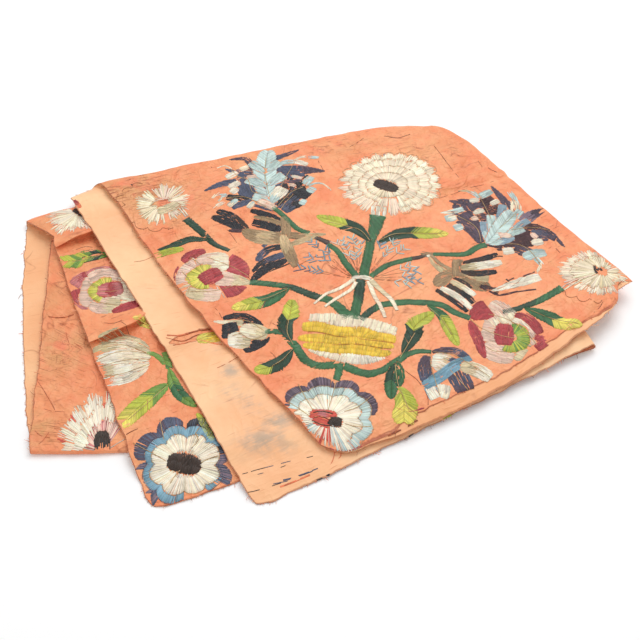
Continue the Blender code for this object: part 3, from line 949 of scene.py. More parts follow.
def lining_silk():
    """Thin peach habotai lining: smoother than the face, with slubs and show-through marks."""
    settings = bpy.context.scene.panel_cloth
    made, tree, shader = new_material("lining_habotai_silk")
    cut = add_node(tree, "ShaderNodeUVMap", {"uv_map": "cut"}).outputs[0]
    place_in = add_node(tree, "ShaderNodeTexCoord").outputs["Object"]
    colour = mixed(tree, ramp(tree, cloud(tree, place_in, 0.06, 4.0), 0.38, 0.62),
                   linear(settings.lining_colour), linear(settings.lining_faded))
    colour = mixed(tree, marks_of(tree, "worn"), colour, linear("#F2A670"))
    slub = streaks(tree, cut, 0.030, 0.0022, 2.0)
    colour = mixed(tree, ramp(tree, slub, 0.66, 0.76, 0.0, 0.75), colour, linear("#D98C5C"))
    # Dark stitching shows through as soft grey marks, broken along the weft
    shown = total(tree, (cloud(tree, place_in, 0.006), 0.6), (slub, 0.4), (marks_of(tree, "ghost"), 0.30))
    shown = both(tree, ramp(tree, shown, 0.50, 0.72), marks_of(tree, "ghost"))
    colour = mixed(tree, shown, colour, linear("#AEA08E"))
    # The lining darkens along its hems and tears, partly as a frayed, dirty edge and partly as painted
    # shade. Along wandering creases it darkens with painted crease shade.
    hem = frayed_and_shaded_edge(tree, place_in)
    fold = both(tree, wrinkle(tree, place_in, 0.075, 0.012),
                ramp(tree, cloud(tree, place_in, 0.02), 0.52, 0.62))
    dark = total(tree, (hem, 0.65), (fold, 0.45))
    colour = mixed(tree, ramp(tree, dark, 0.0, 1.0), colour, linear("#A9603A"))
    relief = total(tree, (wrinkle(tree, place_in, 0.070, 0.07), 0.9),
                   (wrinkle(tree, place_in, 0.022, 0.07), 0.25), (cloud(tree, place_in, 0.014, 4.0), 0.9),
                   (ramp(tree, slub, 0.35, 0.65), 0.16), (hem, -0.3))
    surface(tree, shader, colour, relief, MM, 1.0, 0.5, 0.10, 0.4)
    return made


def silk_floss():
    """Untwisted silk floss laid in satin stitch: glossy along its filaments, dyed unevenly."""
    made, tree, shader = new_material("silk_satin_floss")
    dyed = add_node(tree, "ShaderNodeAttribute", {"attribute_name": "floss"}).outputs["Color"]
    strand = add_node(tree, "ShaderNodeUVMap", {"uv_map": "strand"}).outputs[0]
    # Filaments drawn 0.25 mm apart, coarser than the real ones, so that they show from near
    drawn = add_node(tree, "ShaderNodeMapping", Vector=strand, Scale=(160.0, 4000.0, 1.0))
    filament = add_node(tree, "ShaderNodeTexNoise", Vector=drawn.outputs[0], Scale=1.0, Detail=2.0)
    # A stitch starts every 10 mm of this map's V and is darker towards its two sides, a painted shade where
    # it meets its neighbours
    aside = add_node(tree, "ShaderNodeSeparateXYZ", Vector=strand).outputs["Y"]
    aside = add_node(tree, "ShaderNodeMath", {"operation": "WRAP"}, input_0=aside,
                     input_1=STITCH_APART / 2, input_2=-STITCH_APART / 2)
    aside = add_node(tree, "ShaderNodeMath", {"operation": "ABSOLUTE"}, input_0=aside.outputs[0])
    tone_and_side_shade = both(tree, ramp(tree, filament.outputs["Fac"], 0.0, 1.0, 0.86, 1.16),
                ramp(tree, aside.outputs[0], 0.0003, 0.0008, 1.0, 0.6))
    shade = add_node(tree, "ShaderNodeVectorMath", {"operation": "SCALE"}, input_0=dyed, Scale=tone_and_side_shade)
    surface(tree, shader, shade.outputs[0], filament.outputs["Fac"], 0.0002, 0.3, 0.42, 0.15, 0.3)
    return made


# The flosses that the panel is worked with
FLOSS = {
    "forest": "#386A42", "pine": "#24432F", "leaf": "#779A45", "lime": "#BCC048", "straw": "#E4D564",
    "amber": "#EFC843", "cream": "#F8E6CA", "flax": "#CDBB92", "oat": "#DCCBA6", "ivory": "#F6EBD6",
    "bark": "#43342C", "ink": "#2B2A2F", "slate": "#545A70", "plum": "#5A4A58", "maroon": "#4E3034",
    "grape": "#84717E", "ice": "#C4D6D1", "mist": "#93A9B6", "sky": "#7FA6B8", "crimson": "#B9484C",
    "rose": "#D17F7E", "blush": "#F0CFBA", "poppy": "#E0604F", "dun": "#A98C68", "fawn": "#CDB38A",
    "sepia": "#A0603C", "gilt": "#CBA672", "rust": "#8A4024", "coral": "#EE8156", "peach": "#F8B688",
    "copper": "#BC6038",
}

# How the width of a petal grows from its root and falls to its tip, as powers of the way from either
FORMS = {
    "petal": (0.45, 0.45), "lobe": (0.28, 0.28), "block": (0.12, 0.12), "leaf": (0.55, 0.65),
    "wedge": (0.12, 0.65), "fan": (0.60, 0.16),
}

# The parts of a motif: a form of floss, a stem or thread, a ring of petals and a stalk with flowers.
# Sizes are in millimetres, worn is the share that has worn away, and lift is the height over the
# silk. A disc has its middle, its width and depth, where its stitches start and end as shares of its
# radius, how many petals, how deeply they are scalloped, how ragged and worn, its first and last
# degree, and the floss of the line round its edge.
Blade = namedtuple("Blade", "floss width places form lay worn lift", defaults=("along", 0.02, 0.0))
Line = namedtuple("Line", "floss width places end worn lift", defaults=(None, 0.02, 0.0))
Disc = namedtuple("Disc", "floss px py wide deep start end petals scallop ragged worn first last edge",
                  defaults=(0.0, 360.0, None))
Sprig = namedtuple("Sprig", "floss places")
Motif = namedtuple("Motif", "piece layer parts")
Stitches = namedtuple("Stitches", "starts ends widths colours lifts")

# Buds are round lobes, and couched threads lie over the floss: how worn, how wide and how high
BUD_WORN = 0.05
COUCHED_WIDTH = 0.9
COUCHED_LIFT = 0.4


def parts_of(row):
    """The parts that one row of a chart names."""
    kind, floss, *words = row.split()
    places = [tuple(map(float, word.split(","))) for word in words if "," in word]
    sizes = [float(word) for word in words if "," not in word and "=" not in word]
    named = dict(word.split("=") for word in words if "=" in word)
    named = {name: value if value.isalpha() else float(value) for name, value in named.items()}
    pairs = list(zip(places[::2], places[1::2]))
    if kind == "disc":
        return [Disc(floss, *places[0], *places[1], *sizes, **named)]
    if kind == "buds":
        return [Blade(floss, *sizes, pair, "lobe", worn=BUD_WORN) for pair in pairs]
    if kind == "sprigs":
        return [Sprig(floss, pair) for pair in pairs]
    if kind == "couched":
        return [Line(floss, COUCHED_WIDTH, places, lift=COUCHED_LIFT)]
    if kind == "line":
        return [Line(floss, *sizes, places, **named)]
    return [Blade(floss, *sizes, places, kind, **named)]


def motifs_of(chart):
    """The motifs of a chart, in its order."""
    motifs = []
    for row in filter(None, chart.splitlines()):
        if " on " in row:
            motifs.append(Motif(*row.split(" on "), []))
        else:
            motifs[-1].parts.extend(parts_of(row))
    return motifs


def joined(groups):
    """Groups of stitches as one."""
    return Stitches(*(np.concatenate(rows) for rows in zip(*groups)))


def dyes(names):
    """The linear colours of flosses, a row for each."""
    return np.array([linear(FLOSS[name])[:3] for name in names]).reshape(-1, 3)


def curve(points, parts=8):
    """A smooth open curve through points."""
    knots = np.vstack([2 * points[:1] - points[1:2], points, 2 * points[-1:] - points[-2:-1]])
    share = (np.arange(parts) / parts)[:, None]
    made = []
    for a, b, c, d in zip(knots, knots[1:], knots[2:], knots[3:]):
        made.append(0.5 * (2 * b + (c - a) * share + (2 * a - 5 * b + 4 * c - d) * share**2
                           + (3 * b - a - 3 * c + d) * share**3))
    return np.vstack(made + [points[-1:]])


def spine_of(part, name, spacing):
    """A part's line in plan at even steps: its points, the distance run and the squares to it."""
    px, py = np.array(part.places).T
    path = curve(seen(name, px, py))
    run = np.concatenate([[0], np.cumsum(np.linalg.norm(np.diff(path, axis=0), axis=1))])
    at = np.linspace(0, run[-1], max(3, int(round(run[-1] / spacing)) + 1))
    path = np.column_stack([np.interp(at, run, path[:, k]) for k in (0, 1)])
    tangent = unit(np.gradient(path, axis=0))
    return path, at, np.column_stack([-tangent[:, 1], tangent[:, 0]])


def read_at(values, run, at):
    """Rows of values, which are known at distances run, read at other distances."""
    return np.column_stack([np.interp(at, run, values[:, k]) for k in range(values.shape[1])])


# Wear takes patches of this size, and single stitches, each by its own share. The tone changes in wide
# strands, in fine ones and from stitch to stitch, and so does the tint a little.
WORN_PATCH = 7 * MM
WORN_IN_PATCHES, WORN_SINGLY = 0.9, 0.35
WIDE_STRAND, WIDE_TONE = 10 * MM, 0.14
FINE_STRAND, FINE_TONE = 3 * MM, 0.16
STITCH_TONE, STITCH_TINT = 0.13, 0.02


def gather(starts, ends, width, colours, worn, lift, rng):
    """A group of stitches, without those that have worn away in patches and one by one."""
    starts, ends = np.asarray(starts, float).reshape(-1, 2), np.asarray(ends, float).reshape(-1, 2)
    middles = (starts + ends) / 2
    patch = noise(*middles.T, WORN_PATCH, 91) * 0.5 + 0.5
    stay = (patch > worn * WORN_IN_PATCHES) & (rng.random(len(middles)) > worn * WORN_SINGLY)
    wide, fine = noise(*middles.T, WIDE_STRAND, 92), noise(*middles.T, FINE_STRAND, 96)
    strands = WIDE_TONE * wide + FINE_TONE * fine
    shade = 1 + STITCH_TONE * rng.standard_normal((len(starts), 1)) + strands[:, None]
    tint = 1 + STITCH_TINT * rng.standard_normal((len(starts), 3))
    colours = np.clip(dyes(np.broadcast_to(colours, len(starts))) * shade * tint, 0, 1)
    count = int(stay.sum())
    return Stitches(starts[stay], ends[stay], np.full(count, width), colours[stay], np.full(count, lift))


# How far a stitch runs on under the next one, the share of its length by which its place wanders,
# and how far a row may fall short of its outline or stand past it, in millimetres
STITCH_OVERLAP = 1.6 * MM
CUT_WANDERS = 0.35
END_SHORT, END_PAST = -0.3, 0.8


def cut_run(low, high, length, rng):
    """Cuts a run of floss into stitches of about a length, staggered from row to row."""
    count = max(1, int(round((high - low) / length)))
    cuts = np.linspace(low, high, count + 1)
    cuts[1:-1] += rng.uniform(-CUT_WANDERS, CUT_WANDERS, count - 1) * length
    cuts[0] -= rng.uniform(END_SHORT, END_PAST) * MM
    cuts[-1] += rng.uniform(END_SHORT, END_PAST) * MM
    return zip(cuts[:-1], cuts[1:] + STITCH_OVERLAP)


def banded(floss, share, rng):
    """The colour of each stitch of a part that changes colour along its length."""
    names = np.array(floss.split("/"))
    band = (np.asarray(share) * len(names) + rng.normal(0, 0.10, len(share))).astype(int)
    return names[np.clip(band, 0, len(names) - 1)]


def profile(share, form):
    """The width of a form along its length, as a share of its greatest width."""
    root, tip = FORMS[form]
    widest = root / (root + tip)
    share = np.clip(share, 0.0, 1.0)
    return share**root * (1 - share) ** tip / (widest**root * (1 - widest) ** tip)


# A stitch across a form is never shorter than twice this. In a feather it leans forward by this
# share of its length, and one that would be much longer than a stitch's reach is laid in two, which
# meet somewhere in this middle share.
LEAST_HALF = 0.6 * MM
FEATHER_LEAN = 0.9
TWO_FROM = 1.5
MEET_WITHIN = 0.25


def blade(part, name, rng):
    """A petal, leaf or feather: a body of floss about a line, widest somewhere along it."""
    floss = bpy.context.scene.panel_floss
    path, run, square = spine_of(part, name, floss.pitch)
    share = run / run[-1]
    widest = part.width * MM / 2
    smooth = widest * profile(share, part.form)
    starts, ends, at = [], [], []
    if part.lay == "along":
        rows = max(1, int(round(2 * widest / floss.pitch)))
        for offset in ((np.arange(rows) + 0.5) / rows * 2 - 1) * widest:
            inside = run[smooth >= abs(offset)]
            if len(inside) < 2:
                continue
            for low, high in cut_run(inside[0], inside[-1], floss.reach, rng):
                ends_at = np.array([low, high])
                pair = read_at(path, run, ends_at) + read_at(square, run, ends_at) * offset
                starts.append(pair[0])
                ends.append(pair[1])
                at.append((low + high) / 2 / run[-1])
    else:
        half = np.maximum(smooth, LEAST_HALF) * (1 + 0.05 * rng.standard_normal(len(run)))
        lean = FEATHER_LEAN if part.lay == "feather" else 0.0
        onward = np.column_stack([square[:, 1], -square[:, 0]]) * (lean * half)[:, None]
        edges = [path + side * square * half[:, None] + onward for side in (1, -1)]
        if part.lay == "feather":
            starts, ends, at = np.vstack([path, path]), np.vstack(edges), np.tile(share, 2)
        elif part.width * MM > floss.reach * TWO_FROM:
            middle = path + square * (rng.uniform(-MEET_WITHIN, MEET_WITHIN, len(run)) * half)[:, None]
            starts = np.vstack([middle - square * MM, middle + square * MM])
            ends, at = np.vstack(edges), np.tile(share, 2)
        else:
            starts, ends, at = edges[0], edges[1], share
    return gather(starts, ends, floss.width, banded(part.floss, at, rng), part.worn, part.lift * MM, rng)


# A line of more rows than this is worked as a stem, whose stitches run this many of its widths along
# it and stand this much closer than elsewhere. In a narrower line they are 5 to 7.5 mm long.
STEM_ROWS = 4
STEM_SLANT = 0.9
STEM_CLOSER = 0.85
LINE_SHORTEST, LINE_LONGEST = 5.0, 7.5


def lined(part, name, rng):
    """A stem in slanted satin stitch, or a narrow line in rows of stitches along it."""
    floss = bpy.context.scene.panel_floss
    path, run, square = spine_of(part, name, 1.5 * MM)
    last = part.width if part.end is None else part.end
    widest = max(part.width, last) * MM
    rows = max(1, int(round(widest / floss.pitch)))
    starts, ends, at = [], [], []

    def add(low, high, side_low, side_high):
        ends_at = np.clip([low, high], 0, run[-1])
        widths = np.interp(ends_at, [0, run[-1]], [part.width * MM, last * MM])
        offsets = widths * np.array([side_low, side_high])
        pair = read_at(path, run, ends_at) + read_at(square, run, ends_at) * offsets[:, None]
        starts.append(pair[0])
        ends.append(pair[1])
        at.append(np.mean(ends_at) / run[-1])

    if rows > STEM_ROWS:
        for low in np.arange(-STEM_SLANT * widest, run[-1], floss.pitch * STEM_CLOSER):
            side = 0.5 * rng.uniform(0.86, 1.12)
            add(low, low + STEM_SLANT * widest, -side, side)
    else:
        for row in range(rows):
            offset = (row + 0.5) / rows - 0.5
            low = -rng.uniform(0, 4) * MM
            while low < run[-1] - 1.0 * MM:
                high = low + rng.uniform(LINE_SHORTEST, LINE_LONGEST) * MM
                add(low, high, offset, offset)
                low = high - STITCH_OVERLAP
    width = min(floss.width, widest)
    return gather(starts, ends, width, banded(part.floss, at, rng), part.worn, part.lift * MM, rng)


# How far petals stray from even places, how blunt one is, as a power, and how far the round is uneven
PETAL_STRAYS = 0.5
PETAL_BLUNT = 0.55
ROUND_UNEVEN = 0.04
# A flower's stitches stand a pitch apart on the circle that has these shares of its start and end. They
# are a little wider than a row's, and two of three in a full round start this far out, because all of
# them would pile up in the middle.
PITCH_CIRCLE = (0.15, 0.85)
DISC_WIDER = 1.15
TURNS_START = 0.45
# The length, width, height and wear of a stitch in the line round a flower's edge
EDGE_STITCH = 2.2 * MM
EDGE_WIDTH = 0.6 * MM
EDGE_LIFT = 0.25 * MM
EDGE_WORN = 0.15


def disc(part, name, rng):
    """A ring of straight stitches that radiate from a flower's middle, scalloped into petals."""
    floss = bpy.context.scene.panel_floss
    middle = seen(name, part.px, part.py)[0]
    radius = (part.wide + part.deep) / 4 * MM

    def at(angle, share):
        out = np.column_stack([np.cos(angle) * part.wide, np.sin(angle) * part.deep])
        return middle + out * (share[:, None] * MM / 2)

    def rim(angle):
        x, y = np.cos(angle), np.sin(angle)
        turn = part.petals * angle / 2 + PETAL_STRAYS * noise(x, y, 0.6, 93)
        petal = abs(np.sin(turn)) ** PETAL_BLUNT
        return part.end * (1 + ROUND_UNEVEN * noise(x, y, 0.35, 94)) * (1 - part.scallop * (1 - petal))

    spread = np.radians(part.last - part.first)
    inner, outer = PITCH_CIRCLE
    count = int(spread * radius * (inner * part.start + outer * part.end) / floss.pitch)
    angle = np.radians(part.first) + (np.arange(count) + 0.5) / count * spread
    angle = angle + rng.normal(0, 0.2 * floss.pitch / radius, count)
    low = part.start + rng.uniform(-0.5, 0.5, count) * part.ragged * 0.8
    high = rim(angle) * (1 - part.ragged * rng.random(count))
    if part.start == 0:
        low = np.where(np.arange(count) % 3 > 0, TURNS_START * high, low)
    groups = [gather(at(angle, low), at(angle, high), floss.width * DISC_WIDER,
                     banded(part.floss, rng.random(count), rng), part.worn, 0.0, rng)]
    # A fawn line round a ring of pale petals is painted shade where that ring lies over the next.
    if part.edge:
        steps = int(spread * radius * part.end / EDGE_STITCH)
        turns = np.radians(part.first) + np.arange(steps + 1) / steps * spread
        ring = at(turns, rim(turns))
        groups.append(gather(ring[:-1], ring[1:], EDGE_WIDTH, part.edge, EDGE_WORN, EDGE_LIFT, rng))
    return joined(groups)


# The flowers of a sprig: how far each stands back from its end in millimetres, how far off its line
# they stray, the shortest and longest stitch, and their width
SPRIG_FLOWERS = (0.0, 5.0, 10.0)
SPRIG_STRAY = 1.8
SPRIG_SHORTEST, SPRIG_LONGEST = 7.0, 11.0
SPRIG_WIDTH = 1.9 * MM


def sprig(part, name, rng):
    """A thin stalk that ends in small open flowers, each a pair of straight stitches."""
    groups = [lined(Line("sepia", 0.8, part.places, worn=0.25), name, rng)]
    root, end = seen(name, *zip(*part.places))
    lead = np.arctan2(*(end - root)[::-1])
    starts, ends = [], []
    for back in SPRIG_FLOWERS:
        head = end - unit(end - root) * back * MM + rng.normal(0, SPRIG_STRAY, 2) * MM
        for side in (-1, 1):
            tip = lead + side * rng.uniform(0.4, 1.0)
            length = rng.uniform(SPRIG_SHORTEST, SPRIG_LONGEST) * MM
            starts.append(head)
            ends.append(head + length * np.array([np.cos(tip), np.sin(tip)]))
    colours = banded(part.floss, rng.random(len(starts)), rng)
    return joined(groups + [gather(starts, ends, SPRIG_WIDTH, colours, 0.0, 0.1 * MM, rng)])


MAKERS = {Blade: blade, Line: lined, Disc: disc, Sprig: sprig}

# How much of a stitch a later part covers: it is looked at in so many places, in cells of this size,
# is left out if no more than the least of them are clear, runs on a little under what covers it, and
# covers others itself if it is wide enough. A row of cells has more than enough numbers.
COVER_CELL = 1.2 * MM
COVER_LOOKS = 15
COVER_LEAST = 3
COVER_UNDER = 1.4 * MM
COVER_WIDTH = 1.1 * MM
COVER_ROW = 1 << 20


def uncovered(groups):
    """The parts of a motif, with what a later part covers left out, as it is never stitched."""
    share = np.linspace(0.0, 1.0, COVER_LOOKS)
    taken, kept = np.zeros(0, int), []
    for group in reversed(groups):
        span = group.ends - group.starts
        places = group.starts[:, None] + span[:, None] * share[None, :, None]
        cells = np.round(places / COVER_CELL).astype(int)
        cells = cells[..., 0] * COVER_ROW + cells[..., 1]
        clear = ~np.isin(cells, taken)
        run, longest, last = (np.zeros(len(span), int) for _ in range(3))
        for look in range(COVER_LOOKS):
            run = np.where(clear[:, look], run + 1, 0)
            last = np.where(run > longest, look, last)
            longest = np.maximum(longest, run)
        stay = longest > COVER_LEAST
        first = np.maximum(last - longest + 1, 0)
        under = COVER_UNDER / np.maximum(np.linalg.norm(span, axis=1), COVER_UNDER)
        low = np.maximum(share[first] - under * (first > 0), 0)[:, None]
        high = np.minimum(share[last] + under * (last < COVER_LOOKS - 1), 1)[:, None]
        starts, ends = group.starts + span * low, group.starts + span * high
        kept.append(Stitches(starts[stay], ends[stay], *(rows[stay] for rows in group[2:])))
        taken = np.union1d(taken, cells[stay & (group.widths > COVER_WIDTH)])
    return kept[::-1]


# A stitch's outline is scaled in towards its ends by these shares along and across, and its tips are
# lowered by this share. It is sunk a little into the cloth. In the map of its strands each stitch has
# its own place, so far from the last.
STITCH_TAPER = (0.90, 0.86, 0.86)
STITCH_TIP_DROP = 0.12
STITCH_SINK = 0.03 * MM
STITCH_APART = 0.01


@lru_cache(maxsize=1)
def one_stitch():
    """A single stitch, modelled once: a round-backed sliver that all others copy.

    Returns its points as shares of its length, width and height, and its faces.
    """
    bpy.ops.object.select_all(action="DESELECT")
    bpy.ops.mesh.primitive_cylinder_add(vertices=3, radius=0.5, depth=1.0, end_fill_type="TRIFAN",
                                        rotation=(np.pi / 2, 0, np.pi / 2))
    sliver = bpy.context.object
    bpy.ops.object.transform_apply(location=False, rotation=True, scale=True)
    bpy.ops.object.mode_set(mode="EDIT")
    bpy.ops.mesh.select_all(action="SELECT")
    bpy.ops.mesh.bisect(plane_co=(0, 0, 0), plane_no=(1, 0, 0))
    for tips in (False, True):
        bpy.ops.mesh.select_all(action="DESELECT")
        bpy.ops.object.mode_set(mode="OBJECT")
        for vertex in sliver.data.vertices:
            on_axis = vertex.co.yz.length < 0.1
            vertex.select = abs(vertex.co.x) > 0.4 and on_axis == tips
        bpy.ops.object.mode_set(mode="EDIT")
        if tips:
            bpy.ops.transform.translate(value=(0, 0, -STITCH_TIP_DROP))
        else:
            bpy.ops.transform.resize(value=STITCH_TAPER, center_override=(0, 0, -0.25))
    bpy.ops.mesh.select_all(action="SELECT")
    bpy.ops.mesh.normals_make_consistent(inside=False)
    bpy.ops.object.mode_set(mode="OBJECT")
    points = np.array([vertex.co for vertex in sliver.data.vertices])
    faces = [tuple(face.vertices) for face in sliver.data.polygons]
    bpy.data.meshes.remove(sliver.data)
    low, high = points.min(axis=0), points.max(axis=0)
    shares = (points - low) / (high - low)
    shares[:, 1] -= 0.5
    return shares, faces


# Cuts of long stitches step by the golden ratio, so that no two neighbours line up, and wander over
# this share of a piece. The pieces overlap by this share on each side.
GOLDEN = 0.618
CUT_SPREAD = 0.5
CUT_UNDER = 0.05


def shortened(every, longest):
    """The stitches with the long ones cut, each cut at its own place, as long-and-short stitch is."""
    span = every.ends - every.starts
    parts = np.ceil(np.linalg.norm(span, axis=1) / longest).astype(int)
    which = np.repeat(np.arange(len(parts)), parts)
    order = np.arange(len(which)) - np.repeat(np.cumsum(parts) - parts, parts)
    jog = (which * GOLDEN % 1 - 0.5) * CUT_SPREAD
    low = np.where(order > 0, (order + jog - CUT_UNDER) / parts[which], 0.0)[:, None]
    high = np.where(order < parts[which] - 1, (order + 1 + jog + CUT_UNDER) / parts[which], 1.0)[:, None]
    starts, span = every.starts[which], span[which]
    return Stitches(starts + span * low, starts + span * high, *(rows[which] for rows in every[2:]))


def sewn(piece_name, places, normals, widths, lifts, colours, finish):
    """One mesh of many stitches or thread ends, each through three places in space."""
    shares, faces = one_stitch()
    run = shares[None, :, 0, None]
    weights = [np.maximum(1 - 2 * run, 0), 1 - abs(1 - 2 * run), np.maximum(2 * run - 1, 0)]
    direction = unit(places[:, -1] - places[:, 0])
    side = unit(np.cross(normals[:, 1], direction))
    across = shares[None, :, 1, None] * widths[:, None, None] * side[:, None]
    ridge = np.minimum(bpy.context.scene.panel_floss.ridge, widths)[:, None, None]
    height = shares[None, :, 2, None] * ridge + lifts[:, None, None] - STITCH_SINK
    spine, upright = (sum(rows[:, k, None] * weights[k] for k in range(3)) for rows in (places, normals))
    points = spine + across + upright * height
    count = len(points)
    loops = np.concatenate([np.array(face) for face in faces])
    sizes = np.array([len(face) for face in faces])
    corners = (loops[None] + (np.arange(count) * len(shares))[:, None]).ravel()
    mesh = bpy.data.meshes.new(piece_name)
    mesh.vertices.add(count * len(shares))
    mesh.vertices.foreach_set("co", points.ravel())
    mesh.loops.add(len(corners))
    mesh.loops.foreach_set("vertex_index", corners)
    mesh.polygons.add(count * len(sizes))
    totals = np.tile(sizes, count)
    mesh.polygons.foreach_set("loop_start", np.concatenate([[0], np.cumsum(totals)[:-1]]))
    mesh.polygons.foreach_set("use_smooth", np.ones(len(totals), bool))
    mesh.update(calc_edges=True)
    dyed = mesh.color_attributes.new("floss", "FLOAT_COLOR", "POINT")
    rgba = np.column_stack([np.repeat(colours, len(shares), axis=0), np.ones(count * len(shares))])
    dyed.data.foreach_set("color", rgba.ravel())
    lengths = np.linalg.norm(places[:, -1] - places[:, 0], axis=1)
    strand = np.stack([shares[None, :, 0] * lengths[:, None], shares[None, :, 1] * widths[:, None]], -1)
    strand[..., 1] += np.arange(count)[:, None] * STITCH_APART
    mesh.uv_layers.new(name="strand").data.foreach_set("uv", strand.reshape(-1, 2)[corners].ravel())
    piece = new_piece(piece_name, mesh, finish)
    return piece


def embroider(piece_name, name, groups, finish):
    """One mesh of all the stitches of a motif, laid on a layer of the cloth."""
    floss = bpy.context.scene.panel_floss
    every = shortened(joined(groups), 1.5 * floss.reach)
    count = len(every.starts)
    halfway = (every.starts + every.ends) / 2
    plan_points = np.stack([every.starts, halfway, every.ends], axis=1)
    places, normals, on = drape(name, plan_points.reshape(-1, 2))
    places, normals = places.reshape(count, 3, 3), normals.reshape(count, 3, 3)
    stay = on.reshape(count, 3).all(axis=1)
    return sewn(piece_name, places[stay], normals[stay], every.widths[stay], every.lifts[stay],
                every.colours[stay], finish)


# Thread ends along the hems: chances taken on each edge of the mesh, the share of them that show on a
# stretch of hem, that stretch, their usual length and their width, which is coarser than a real thread
END_TRIES = 4
END_SHARE = 0.07
END_STRETCH = 4 * MM
END_LENGTH = 1.3 * MM
END_WIDTH = 0.45 * MM
# The length that none falls short of, how often one usual length is the most, and how far inside the
# edge each is rooted. They gather in frayed places of about this size.
END_LEAST = 0.8 * MM
END_MOST = 4
END_ROOT = 0.6 * MM
FRAYED_SIZE = 25 * MM
# As shares of its length, an end bends sideways and rises, and its middle is this far out, with this
# much of the bend, where the tip has that much. It never lies lower than this.
END_BEND = 0.45
END_RISE = (-0.1, 0.35)
MIDDLE_OUT, MIDDLE_BEND, TIP_BEND = 0.55, 0.4, 1.3
END_LOWEST = 0.4 * MM
UPWARDS = np.array([0.0, 0.0, 1.0])


def hem_ends(piece_name, chosen, offset, floss, finish, rng):
    """Bare thread ends along the hems and tears of one layer of the cloth."""
    whole = folded_cloth()
    quads = whole.quads[chosen]
    points = skin(offset)
    one, other = quads.ravel(), np.roll(quads, -1, axis=1).ravel()
    size = len(points)
    open_edge = ~np.isin(one * size + other, other * size + one)
    middle = np.repeat(points[quads].mean(axis=1), 4, axis=0)[open_edge]
    stretches = points[one[open_edge]], points[other[open_edge]], middle
    one, other, middle = (np.tile(rows, (END_TRIES, 1)) for rows in stretches)
    worn = noise(*one[:, :2].T, FRAYED_SIZE, 95) * 0.5 + 0.5
    chance = END_SHARE * np.linalg.norm(other - one, axis=1) / END_STRETCH * (0.3 + 1.4 * worn)
    stay = rng.random(len(one)) < chance
    one, other, middle = one[stay], other[stay], middle[stay]
    count = len(one)
    root = one + (other - one) * rng.random((count, 1))
    out = unit((one + other) / 2 - middle)
    along = unit(other - one)
    length = np.minimum(rng.exponential(END_LENGTH, (count, 1)) + END_LEAST, END_MOST * END_LENGTH)
    bend = rng.normal(0, END_BEND, (count, 1))
    lift = rng.uniform(*END_RISE, (count, 1)) * UPWARDS
    half = root + (out * MIDDLE_OUT + along * bend * MIDDLE_BEND + lift) * length
    tip = root + (out + along * bend * TIP_BEND + lift) * length
    places = np.stack([root - out * END_ROOT, half, tip], axis=1)
    places[..., 2] = np.maximum(places[..., 2], END_LOWEST)
    normals = np.broadcast_to(UPWARDS, places.shape)
    dyed = dyes(floss.split("/"))
    dyed = dyed[rng.integers(0, len(dyed), count)]
    return sewn(piece_name, places, normals, np.full(count, END_WIDTH), np.zeros(count), dyed, finish)


